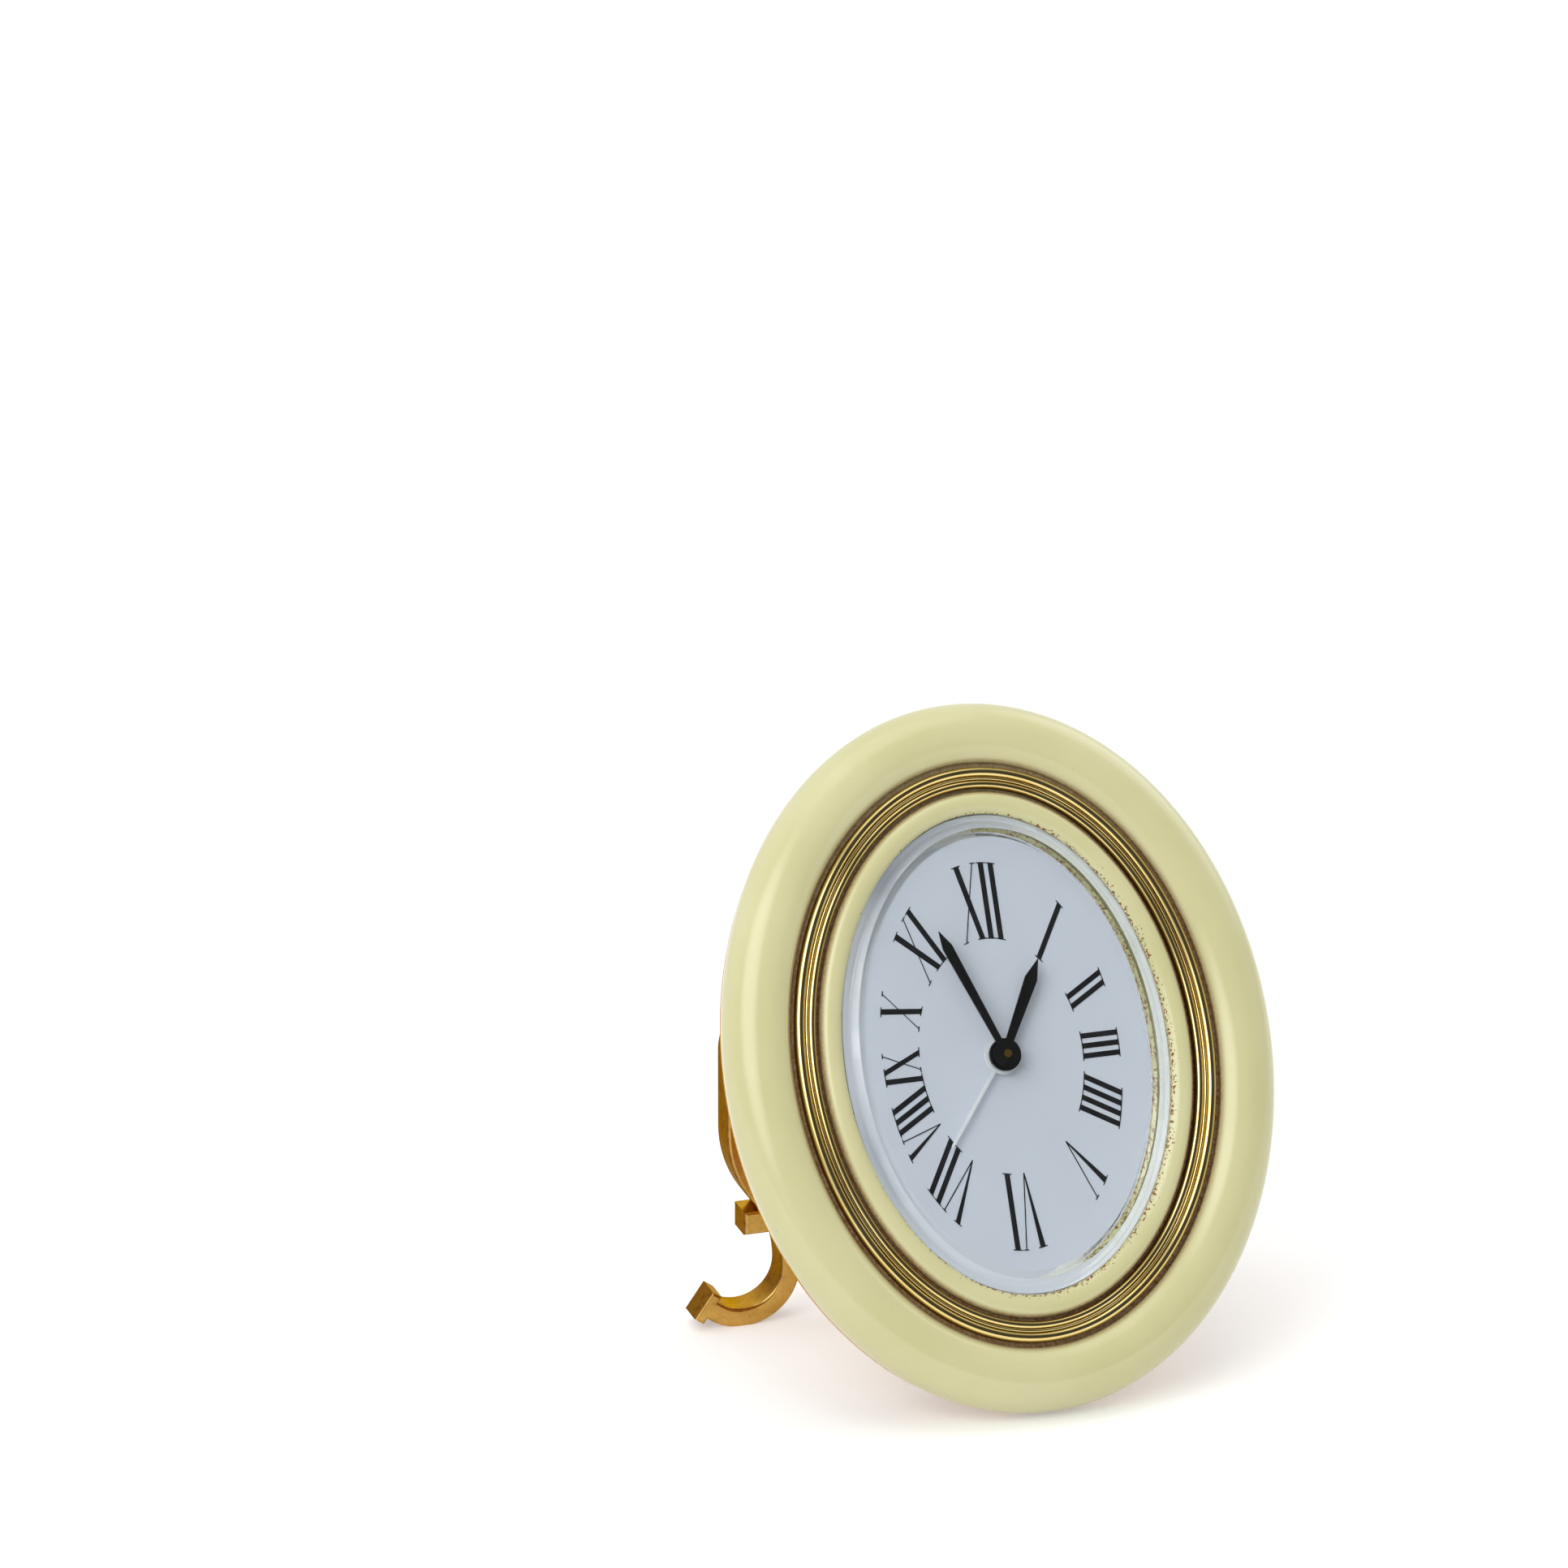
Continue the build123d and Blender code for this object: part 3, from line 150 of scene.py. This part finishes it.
# brushed and gilded brass: a warm satin, its fine lines running from side to side
giltLook = {
    "colour": "#CFA556", "shade": "#B78B44", "glance": "#E8C88A", "cloud": 5, "mottle": (0.35, 0.65),
    "dirtAndShade": "#704A2A", "spot": 0.9, "spotFrom": 0.5, "spotTo": 0.75, "spotting": 0.2,
    "tarnishAndShadeSides": 0, "sidesFrom": 0.3, "sidesTo": 0.85,
    "roughness": 0.2, "dirtAndShadeRoughness": 0.42,
    "grain": 0.12, "grainHeight": 0.006, "grainStrength": 0.4, "brushed": 25,
}
# the same gilding worn and tarnished: dull brown tarnish with a painted shade on the sides of the band, its
# grain drawn coarser to show
strutLook = {**giltLook, "dirtAndShade": "#6E4828", "spotting": 0.4, "tarnishAndShadeSides": 0.9, "grain": 0.3, "brushed": 4}
# cast acrylic: clear as glass, with a sharp gleam
crystalLook = {"colour": "#F6FAFA", "ior": 1.49, "roughness": 0.0}


def makeEnamel(name, look):
    material, tree = startMaterial(name)
    place = add(tree, "TexCoord").outputs["Object"]
    cloud = add(tree, "TexNoise", Vector=place, Scale=1000 / look["cloud"], Detail=3)
    cloud = add(tree, "MapRange", Value=cloud, From_Min=look["mottle"][0], From_Max=look["mottle"][1])
    base = add(tree, "Mix", {"data_type": "RGBA"}, i0=cloud, i6=linear(look["colour"]),
               i7=linear(look["shade"]))
    # the mesh's share of dirt and of a painted brown reflection of the brass
    grimeAndPaintedShade = add(tree, "Attribute", {"attribute_name": "grimeAndPaintedShade"}).outputs["Fac"]
    patches = add(tree, "TexNoise", Vector=place, Scale=1000 / look["patch"], Detail=3)
    patches = add(tree, "MapRange", Value=patches, From_Min=look["mottle"][0], From_Max=look["mottle"][1],
                  To_Min=look["thinnest"], To_Max=1)
    dirtAndShade = add(tree, "Math", {"operation": "MULTIPLY"}, i0=grimeAndPaintedShade, i1=patches)
    # grit shows where the noise rises over a level that falls with the share of specks
    specks = add(tree, "Attribute", {"attribute_name": "specks"}).outputs["Fac"]
    level = add(tree, "MapRange", Value=specks, To_Min=look["sparse"], To_Max=0)
    grit = add(tree, "TexNoise", Vector=place, Scale=1000 / look["grit"], Detail=2)
    grit = add(tree, "Math", {"operation": "SUBTRACT"}, i0=grit, i1=level)
    grit = add(tree, "MapRange", Value=grit, From_Min=look["gritFrom"], From_Max=look["gritTo"])
    dirtAndShade = add(tree, "Math", {"operation": "MAXIMUM"}, i0=dirtAndShade, i1=grit)
    base = add(tree, "Mix", {"data_type": "RGBA"}, i0=dirtAndShade, i6=base.outputs[2], i7=linear(look["dirtAndShade"]))
    rough = add(tree, "MapRange", Value=dirtAndShade, To_Min=look["roughness"], To_Max=look["dirtAndShadeRoughness"])
    ripple = add(tree, "TexNoise", Vector=place, Scale=1000 / look["ripple"], Detail=1)
    ripple = add(tree, "Bump", Height=ripple, Strength=look["rippleStrength"],
                 Distance=look["rippleHeight"] / 1000)
    shader = add(tree, "BsdfPrincipled", Base_Color=base.outputs[2], Roughness=rough, IOR=look["ior"],
                 Normal=ripple)
    add(tree, "OutputMaterial", Surface=shader)
    return material


def makeBrass(name, look):
    material, tree = startMaterial(name)
    place = add(tree, "TexCoord").outputs["Object"]
    cloud = add(tree, "TexNoise", Vector=place, Scale=1000 / look["cloud"], Detail=4, Roughness=0.6)
    cloud = add(tree, "MapRange", Value=cloud, From_Min=look["mottle"][0], From_Max=look["mottle"][1])
    base = add(tree, "Mix", {"data_type": "RGBA"}, i0=cloud, i6=linear(look["colour"]),
               i7=linear(look["shade"]))
    spots = add(tree, "TexNoise", Vector=place, Scale=1000 / look["spot"], Detail=6, Roughness=0.7)
    spots = add(tree, "MapRange", Value=spots, From_Min=look["spotFrom"], From_Max=look["spotTo"])
    spots = add(tree, "Math", {"operation": "MULTIPLY"}, i0=spots, i1=look["spotting"])
    # the mesh's share of dirt and of painted shade in the hollows
    grimeAndPaintedShade = add(tree, "Attribute", {"attribute_name": "grimeAndPaintedShade"}).outputs["Fac"]
    dirtAndShade = add(tree, "Math", {"operation": "ADD"}, i0=spots, i1=grimeAndPaintedShade)
    # surfaces that look left or right, which stay so when the piece turns about x, take tarnish and a
    # painted shade
    tarnishAndShadeSides = add(tree, "SeparateXYZ", Vector=add(tree, "NewGeometry").outputs["Normal"])
    tarnishAndShadeSides = add(tree, "Math", {"operation": "ABSOLUTE"}, i0=tarnishAndShadeSides)
    tarnishAndShadeSides = add(tree, "MapRange", Value=tarnishAndShadeSides, From_Min=look["sidesFrom"], From_Max=look["sidesTo"],
                To_Max=look["tarnishAndShadeSides"])
    dirtAndShade = add(tree, "Math", {"operation": "ADD", "use_clamp": True}, i0=dirtAndShade, i1=tarnishAndShadeSides)
    base = add(tree, "Mix", {"data_type": "RGBA"}, i0=dirtAndShade, i6=base.outputs[2], i7=linear(look["dirtAndShade"]))
    rough = add(tree, "MapRange", Value=dirtAndShade, To_Min=look["roughness"], To_Max=look["dirtAndShadeRoughness"])
    # the grain is drawn out along x where the piece was brushed
    drawn = add(tree, "VectorMath", {"operation": "MULTIPLY"}, i0=place, i1=(1 / look["brushed"], 1, 1))
    grain = add(tree, "TexNoise", Vector=drawn, Scale=1000 / look["grain"], Detail=2)
    grain = add(tree, "Bump", Height=grain, Strength=look["grainStrength"],
                Distance=look["grainHeight"] / 1000)
    shader = add(tree, "BsdfPrincipled", Base_Color=base.outputs[2], Metallic=1,
                 Specular_Tint=linear(look["glance"]), Roughness=rough, Normal=grain)
    add(tree, "OutputMaterial", Surface=shader)
    return material


def makeCrystal(name, look):
    material, tree = startMaterial(name)
    shader = add(tree, "BsdfPrincipled", Base_Color=linear(look["colour"]), Transmission_Weight=1,
                 IOR=look["ior"], Roughness=look["roughness"])
    # it lets the lamps through to the dial
    shadow = add(tree, "LightPath").outputs["Is Shadow Ray"]
    shader = add(tree, "MixShader", i0=shadow, i1=shader, i2=add(tree, "BsdfTransparent"))
    add(tree, "OutputMaterial", Surface=shader)
    return material


# lacquers, prints, plastics and plain metals: a slight mottle in colour and gloss, and a fine grain
plainFinish = {"mottle": (0.3, 0.7), "duller": 1.25, "ior": 1.5, "grainStrength": 0.4}
plainLooks = {
    # sprayed lacquer on the dial: cool white, satin
    "dialLacquer": {"colour": "#DFE3ED", "shade": "#DCE0EA", "cloud": 9, "roughness": 0.35,
                    "grain": 0.2, "grainHeight": 0.002},
    # pad-printed ink: deep black, less glossy than the hands
    "blackPrint": {"colour": "#0D0D10", "shade": "#141418", "cloud": 0.6, "roughness": 0.4,
                   "grain": 0.1, "grainHeight": 0.002},
    # lacquered hands: black with a soft gleam
    "blackLacquer": {"colour": "#08080A", "shade": "#0E0E10", "cloud": 1.5, "roughness": 0.28,
                     "grain": 0.15, "grainHeight": 0.002},
    # lacquered hand: a brighter white than the dial
    "whiteLacquer": {"colour": "#F2F4F6", "shade": "#ECEEF1", "cloud": 1.5, "roughness": 0.3,
                     "grain": 0.15, "grainHeight": 0.002},
    # moulded acetal: milky white, waxy
    "whiteAcetal": {"colour": "#E6E6E2", "shade": "#DCDCD6", "cloud": 4, "roughness": 0.4,
                    "grain": 0.25, "grainHeight": 0.004},
    # moulded acetal of the wheels: undyed, a little yellow
    "gearAcetal": {"colour": "#D8D2BE", "shade": "#CBC4AE", "cloud": 2, "roughness": 0.42,
                   "grain": 0.2, "grainHeight": 0.003},
    # moulded ABS: black, spark-eroded matt
    "blackAbs": {"colour": "#15161A", "shade": "#1C1D21", "cloud": 3, "roughness": 0.45,
                 "grain": 0.25, "grainHeight": 0.01},
    # potted epoxy: black, dull
    "blackEpoxy": {"colour": "#101012", "shade": "#18181A", "cloud": 1, "roughness": 0.5,
                   "grain": 0.1, "grainHeight": 0.004},
    # screened solder mask: dark green gloss over the weave of the glass
    "greenSolderMask": {"colour": "#0C4A28", "shade": "#12603A", "cloud": 1.6, "roughness": 0.3,
                        "grain": 0.3, "grainHeight": 0.01},
    # moulded nitrile rubber: black, matt
    "sealRubber": {"colour": "#101010", "shade": "#1A1A1A", "cloud": 1, "roughness": 0.7,
                   "grain": 0.1, "grainHeight": 0.01},
    # turned steel: grey with soft highlights
    "turnedSteel": {"colour": "#B9BABD", "shade": "#A6A7AB", "cloud": 1, "roughness": 0.28,
                    "grain": 0.08, "grainHeight": 0.003, "metallic": 1},
    # nickel-plated steel: paler and brighter
    "nickelSteel": {"colour": "#C9CACC", "shade": "#BDBEC0", "cloud": 2, "roughness": 0.18,
                    "grain": 0.1, "grainHeight": 0.002, "metallic": 1},
    # stamped soft iron: dark grey, satin
    "softIron": {"colour": "#77787C", "shade": "#66676B", "cloud": 1, "roughness": 0.38,
                 "grain": 0.12, "grainHeight": 0.004, "metallic": 1},
    # wound enamelled copper wire: red-brown, its turns drawn as a grain of their width
    "copperWire": {"colour": "#C46F3F", "shade": "#A2542B", "cloud": 0.3, "roughness": 0.3,
                   "grain": 0.12, "grainHeight": 0.03, "metallic": 1},
    # rolled bronze strip: pale gold, smooth
    "springBronze": {"colour": "#CDA764", "shade": "#B98F4B", "cloud": 1, "roughness": 0.25,
                     "grain": 0.15, "grainHeight": 0.003, "metallic": 1},
    # turned brass: yellow with soft highlights
    "turnedBrass": {"colour": "#D9B264", "shade": "#C79D4C", "cloud": 1, "roughness": 0.22,
                    "grain": 0.1, "grainHeight": 0.003, "metallic": 1},
}


def makePlain(name, look):
    material, tree = startMaterial(name)
    place = add(tree, "TexCoord").outputs["Object"]
    finish = plainFinish
    cloud = add(tree, "TexNoise", Vector=place, Scale=1000 / look["cloud"], Detail=3)
    cloud = add(tree, "MapRange", Value=cloud, From_Min=finish["mottle"][0], From_Max=finish["mottle"][1])
    base = add(tree, "Mix", {"data_type": "RGBA"}, i0=cloud, i6=linear(look["colour"]),
               i7=linear(look["shade"]))
    rough = add(tree, "MapRange", Value=cloud, To_Min=look["roughness"],
                To_Max=look["roughness"] * finish["duller"])
    grain = add(tree, "TexNoise", Vector=place, Scale=1000 / look["grain"], Detail=2)
    grain = add(tree, "Bump", Height=grain, Strength=finish["grainStrength"],
                Distance=look["grainHeight"] / 1000)
    # a metal keeps the default index of refraction
    kind = {"Metallic": 1} if "metallic" in look else {"IOR": finish["ior"]}
    shader = add(tree, "BsdfPrincipled", Base_Color=base.outputs[2], Roughness=rough, Normal=grain, **kind)
    add(tree, "OutputMaterial", Surface=shader)
    return material


materials = {name: makePlain(name, look) for name, look in plainLooks.items()}
materials["creamEnamel"] = makeEnamel("creamEnamel", enamelLook)
materials["polishedBrass"] = makeBrass("polishedBrass", trimLook)
materials["giltBrass"] = makeBrass("giltBrass", giltLook)
materials["tarnishedShadedGilt"] = makeBrass("tarnishedShadedGilt", strutLook)
materials["castAcrylic"] = makeCrystal("castAcrylic", crystalLook)
print("materials:", len(materials))

# front bands: each is one section swept round the case's oval, its sizes in millimetres
caseOutline = {"halfWidth": 33.9, "halfHeight": 42.5, "steps": 600, "sharpAngle": 38}


def fade(value, start, end):
    # 0 at start, 1 at end, smooth between
    share = min(max((value - start) / (end - start), 0), 1)
    return share * share * (3 - 2 * share)


def arcPoints(centre, radius, start, end, count):
    # points on an arc of the section, angles in degrees
    points = []
    for i in range(count + 1):
        turn = math.radians(start + (end - start) * i / count)
        points.append((centre[0] + radius * math.cos(turn), centre[1] + radius * math.sin(turn)))
    return points


def tangentArc(crest, end, count):
    # arc that leaves the crest level and reaches end
    across, drop = end[0] - crest[0], crest[1] - end[1]
    radius = (across ** 2 + drop ** 2) / (2 * drop)
    sweep = math.degrees(math.atan2(across, radius - drop))
    return arcPoints((crest[0], crest[1] - radius), radius, 90, 90 - sweep, count)


def noGrit(inset, level, turn):
    return 0


def sweptBand(name, node, section, dirtAndShade, grit, material):
    # section: closed loop of (inset from the outline, level); dirtAndShade and grit: share of old polish,
    # dirt and painted shade, and of specks at (inset, level, angle round the oval)
    steps = caseOutline["steps"]
    wide, high = caseOutline["halfWidth"], caseOutline["halfHeight"]
    vertices, shares, specks = [], [], []
    for step in range(steps):
        turn = 2 * math.pi * step / steps
        x, y = wide * math.cos(turn), high * math.sin(turn)
        outward = Vector((x / wide ** 2, y / high ** 2)).normalized()
        for inset, level in section:
            vertices.append(onDial(x - outward.x * inset, y - outward.y * inset, level))
            shares.append(dirtAndShade(inset, level, turn))
            specks.append(grit(inset, level, turn))
    count = len(section)
    faces = []
    for step in range(steps):
        here, after = step * count, (step + 1) % steps * count
        for i in range(count):
            j = (i + 1) % count
            faces.append((here + i, here + j, after + j, after + i))
    mesh = bpy.data.meshes.new(name)
    mesh.from_pydata(vertices, [], faces)
    mesh.validate()
    for attributeName, values in (("grimeAndPaintedShade", shares), ("specks", specks)):
        mesh.attributes.new(attributeName, "FLOAT", "POINT").data.foreach_set("value", values)
    mesh.shade_smooth()
    mesh.set_sharp_from_angle(angle=math.radians(caseOutline["sharpAngle"]))
    mesh.materials.append(materials[material])
    band = bpy.data.objects.new(name, mesh)
    bpy.context.scene.collection.objects.link(band)
    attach(band, "case")
    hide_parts(node)


# half-round ring, its channel for the trim, and its web
caseRing = {
    "rimRadius": 4.45, "rimLevel": -0.65, "rimPoints": 40, "innerRadius": 3.75, "innerPoints": 24,
    "back": -2.4, "channelInset": 7.5, "webTop": 1.7, "webInset": 12.95, "webBottom": 0, "seatInset": 10.6,
    "paintedBrassReflectionFrom": 6.6, "paintedBrassReflection": 0.6, "channelStain": 0.97, "lessAtTop": 0.25,
    "edgeLevel": -1.75, "edgeFade": 0.2, "edgeStain": 0.6, "tolerance": 0.01,
}


def makeCaseRing():
    size = caseRing
    crest = size["rimLevel"] + size["rimRadius"]
    innerCentre = (size["rimRadius"], crest - size["innerRadius"])
    fall = math.degrees(math.acos((size["channelInset"] - size["rimRadius"]) / size["innerRadius"]))
    outerEnd = 180 + math.degrees(math.asin((size["rimLevel"] - size["back"]) / size["rimRadius"]))
    section = arcPoints((size["rimRadius"], size["rimLevel"]), size["rimRadius"], outerEnd, 90,
                        size["rimPoints"])
    section += arcPoints(innerCentre, size["innerRadius"], 90, fall, size["innerPoints"])[1:]
    section += [
        (size["channelInset"], size["webTop"]),
        (size["webInset"], size["webTop"]),
        (size["webInset"], size["webBottom"]),
        (size["seatInset"], size["webBottom"]),
        (size["seatInset"], size["back"]),
    ]

    def dirtAndShade(inset, level, turn):
        # the channel's stain is lighter towards the top, and the rear edge has a thin worn line
        if inset > size["channelInset"] - size["tolerance"]:
            return size["channelStain"] - size["lessAtTop"] * max(math.sin(turn), 0) ** 2
        worn = size["edgeStain"] * fade(-level, -size["edgeLevel"], size["edgeFade"] - size["edgeLevel"])
        # beside the channel the band takes a painted brown reflection of the brass
        return worn + size["paintedBrassReflection"] * fade(inset, size["paintedBrassReflectionFrom"], size["channelInset"]) ** 2

    sweptBand("enamelledRing", "case_ring", section, dirtAndShade, noGrit, "creamEnamel")


# three reeds side by side, given by their radii; the narrow middle one stands higher
trimReeds = {"inset": 8.1, "outer": 0.58, "middle": 0.2, "inner": 0.47, "reedPoints": 20, "base": 2.42,
             "middleRise": 0.2, "foot": 1.7, "unmarkedAbove": 0.2}


def makeTrim():
    size = trimReeds
    section = [(size["inset"], size["foot"])]
    left = size["inset"]
    for radius, lift in ((size["outer"], 0), (size["middle"], size["middleRise"]), (size["inner"], 0)):
        section += arcPoints((left + radius, size["base"] + lift), radius, 180, 0, size["reedPoints"])
        left += 2 * radius
    section.append((left, size["foot"]))

    def dirtAndShade(inset, level, turn):
        # brown dirt and painted shade on the reeds below their tops, deepest in the grooves
        return 1 - fade(level, size["base"] - size["unmarkedAbove"] / 2, size["base"] + size["unmarkedAbove"])

    sweptBand("brassReeds", "trim_ring", section, dirtAndShade, noGrit, "polishedBrass")


# narrow bezel that holds the crystal under its lip; heaviestAt is in radians below the three
bezelBand = {
    "inset": 11.05, "edgeInset": 13.7, "backInset": 12.85, "foot": 1.7, "shoulder": 0.4,
    "crest": 1.75, "crestWidth": 1.15, "lipTop": 1.1, "lipBottom": 0.45, "sidePoints": 18,
    "paintedBrassReflection": 0.85, "paintedBrassReflectionWidth": 0.65, "paintedBrassReflectionPower": 1.5,
    "specks": 0.5, "speckSwing": 0.4, "speckWidth": 1.3, "heaviestAt": 0.6,
    "edgeSpecks": 0.6, "edgeWidth": 0.35,
}


def makeBezel():
    size = bezelBand
    crest = (size["inset"] + size["crestWidth"], size["foot"] + size["crest"])
    lipBottom = size["foot"] + size["lipBottom"]
    outside = tangentArc(crest, (size["inset"], size["foot"] + size["shoulder"]), size["sidePoints"])
    inside = tangentArc(crest, (size["edgeInset"], size["foot"] + size["lipTop"]), size["sidePoints"])
    section = [(size["inset"], size["foot"])] + outside[::-1] + inside[1:]
    section += [(size["edgeInset"], lipBottom), (size["backInset"], lipBottom)]
    section.append((size["backInset"], size["foot"]))

    def dirtAndShade(inset, level, turn):
        # along the brass the bezel takes a painted brown reflection of the brass
        nearBrass = 1 - fade(inset, size["inset"], size["inset"] + size["paintedBrassReflectionWidth"])
        return size["paintedBrassReflection"] * nearBrass ** size["paintedBrassReflectionPower"]

    def grit(inset, level, turn):
        # specks lie along the crystal, thickest at the lower right
        nearCrystal = fade(inset, size["edgeInset"] - size["speckWidth"], size["edgeInset"])
        atCrystal = fade(inset, size["edgeInset"] - size["edgeWidth"], size["edgeInset"])
        spread = size["specks"] + size["speckSwing"] * math.cos(turn + size["heaviestAt"])
        return nearCrystal * spread + size["edgeSpecks"] * atCrystal

    sweptBand("enamelledBezel", "crystal_bezel", section, dirtAndShade, grit, "creamEnamel")


makeCaseRing()
makeTrim()
makeBezel()
print("front bands made")

# the other pieces keep their own meshes and take a finish
piecesIn = {
    "dialLacquer": ["dial"],
    "blackPrint": ["dial_numerals"],
    "blackLacquer": ["minute_hand", "hour_hand"],
    "whiteLacquer": ["alarm_hand"],
    "castAcrylic": ["crystal"],
    "whiteAcetal": ["crystal_spacer", "movement_ring"],
    "gearAcetal": ["centre_wheel", "hour_wheel", "alarm_wheel", "minute_wheel", "alarm_idler",
                   "third_wheel", "rotor"],
    "blackAbs": ["main_plate", "rear_plate"],
    "softIron": ["stator"],
    "copperWire": ["coil"],
    "greenSolderMask": ["circuit_board"],
    "blackEpoxy": ["timing_chip"],
    "nickelSteel": ["quartz_can", "battery_cell"],
    "springBronze": ["switch_leaf", "centre_contact", "side_contact", "alarm_contact"],
    "turnedSteel": ["movement_screws", "plate_screws", "time_stem", "alarm_stem", "hinge_pin"],
    "turnedBrass": ["centre_arbor", "sounder_disc", "case_screws", "cover_screws", "bracket_screws"],
    "sealRubber": ["hatch_seal", "hinge_washers"],
    "giltBrass": ["case_body", "back_cover", "battery_hatch", "alarm_button", "time_knob", "alarm_knob",
                  "hinge_bracket"],
    "tarnishedShadedGilt": ["strut"],
}
for materialName, pieces in piecesIn.items():
    for piece in pieces:
        for slot in nodes[piece].material_slots:
            slot.material = materials[materialName]
print("node materials set")

# studio: pale floor, white surroundings and soft lamps, in metres and watts; shine is the level of
# the soft window that mirrors see towards a lamp
studio = {
    "floorSize": 6.0, "floorColour": "#F4F4F4", "floorRoughness": 0.9, "floorGlow": 0.33,
    "ambient": 0.57,
    "wallLevel": 0.6, "wallFrom": 0.1, "wallTo": 0.5,
    "dimWay": (0.27, -0.82, 0.50), "dimLevel": 0.1, "dimFrom": 0.5, "dimTo": 0.85,
    "windowFrom": 0.87, "windowTo": 0.99,
    "lamps": (
        {"name": "windowLeft", "place": (-0.55, -0.38, 0.52), "size": 0.5, "power": 1.9, "shine": 3.2},
        {"name": "windowRight", "place": (0.62, 0.30, 0.45), "size": 0.4, "power": 0.65, "shine": 1.2},
        {"name": "skyTop", "place": (-0.05, 0.10, 0.85), "size": 0.6, "power": 1.6, "shine": 0.9},
    ),
}


def seenRays(tree):
    # 1 for rays that the camera sends straight on, off metal or through glass
    rays = add(tree, "LightPath")
    straight = add(tree, "Math", {"operation": "MAXIMUM"}, i0=rays.outputs["Is Camera Ray"],
                   i1=rays.outputs["Is Transmission Ray"])
    return add(tree, "Math", {"operation": "MAXIMUM"}, i0=straight, i1=rays.outputs["Is Glossy Ray"])


def addFloor():
    half = studio["floorSize"] / 2
    corners = [(-half, -half, 0), (half, -half, 0), (half, half, 0), (-half, half, 0)]
    mesh = bpy.data.meshes.new("paleFloor")
    mesh.from_pydata(corners, [], [(0, 1, 2, 3)])
    floor = bpy.data.objects.new("paleFloor", mesh)
    bpy.context.scene.collection.objects.link(floor)
    material, tree = startMaterial("paleFloorPaint")
    paint = add(tree, "BsdfPrincipled", Base_Color=linear(studio["floorColour"]),
                Roughness=studio["floorRoughness"])
    # the camera, metal and glass see the floor as white, with the object's shadow on it
    glow = add(tree, "MapRange", Value=seenRays(tree), To_Max=studio["floorGlow"])
    glow = add(tree, "Emission", Color=(1, 1, 1, 1), Strength=glow)
    add(tree, "OutputMaterial", Surface=add(tree, "AddShader", i0=paint, i1=glow))
    mesh.materials.append(material)


def addLamps():
    for lamp in studio["lamps"]:
        data = bpy.data.lights.new(lamp["name"], "AREA")
        data.size = lamp["size"]
        data.energy = lamp["power"]
        light = bpy.data.objects.new(lamp["name"], data)
        bpy.context.scene.collection.objects.link(light)
        light.location = lamp["place"]
        light.rotation_euler = (dialCentre - Vector(lamp["place"])).to_track_quat("-Z", "Y").to_euler()
        light.visible_glossy = False


def addRoom():
    # mirrors see a white back, pale walls, soft windows and, in front, a dim room; the camera sees white
    world = bpy.data.worlds.new("whiteRoom")
    world.use_nodes = True
    tree = world.node_tree
    tree.nodes.clear()
    way = add(tree, "TexCoord").outputs["Generated"]
    back = add(tree, "MapRange", Value=add(tree, "SeparateXYZ", Vector=way).outputs["Y"],
               From_Min=studio["wallFrom"], From_Max=studio["wallTo"], To_Min=studio["wallLevel"], To_Max=1)
    facing = add(tree, "VectorMath", {"operation": "DOT_PRODUCT"}, i0=way, i1=studio["dimWay"])
    dim = add(tree, "MapRange", Value=facing.outputs["Value"], From_Min=studio["dimFrom"],
              From_Max=studio["dimTo"], To_Min=1, To_Max=studio["dimLevel"])
    mirrored = add(tree, "Math", {"operation": "MULTIPLY"}, i0=back, i1=dim)
    for lamp in studio["lamps"]:
        toLamp = (Vector(lamp["place"]) - dialCentre).normalized()
        facing = add(tree, "VectorMath", {"operation": "DOT_PRODUCT"}, i0=way, i1=toLamp)
        window = add(tree, "MapRange", {"interpolation_type": "SMOOTHSTEP"}, Value=facing.outputs["Value"],
                     From_Min=studio["windowFrom"], From_Max=studio["windowTo"], To_Max=lamp["shine"])
        mirrored = add(tree, "Math", {"operation": "ADD"}, i0=mirrored, i1=window)
    glossy = add(tree, "LightPath").outputs["Is Glossy Ray"]
    mirrored = add(tree, "Mix", i0=glossy, i2=1, i3=mirrored)
    strength = add(tree, "Mix", i0=seenRays(tree), i2=studio["ambient"], i3=mirrored)
    background = add(tree, "Background", Color=(1, 1, 1, 1), Strength=strength)
    add(tree, "OutputWorld", Surface=background)
    bpy.context.scene.world = world
    bpy.context.scene.view_settings.view_transform = "Standard"


addFloor()
addLamps()
addRoom()
print("studio set")
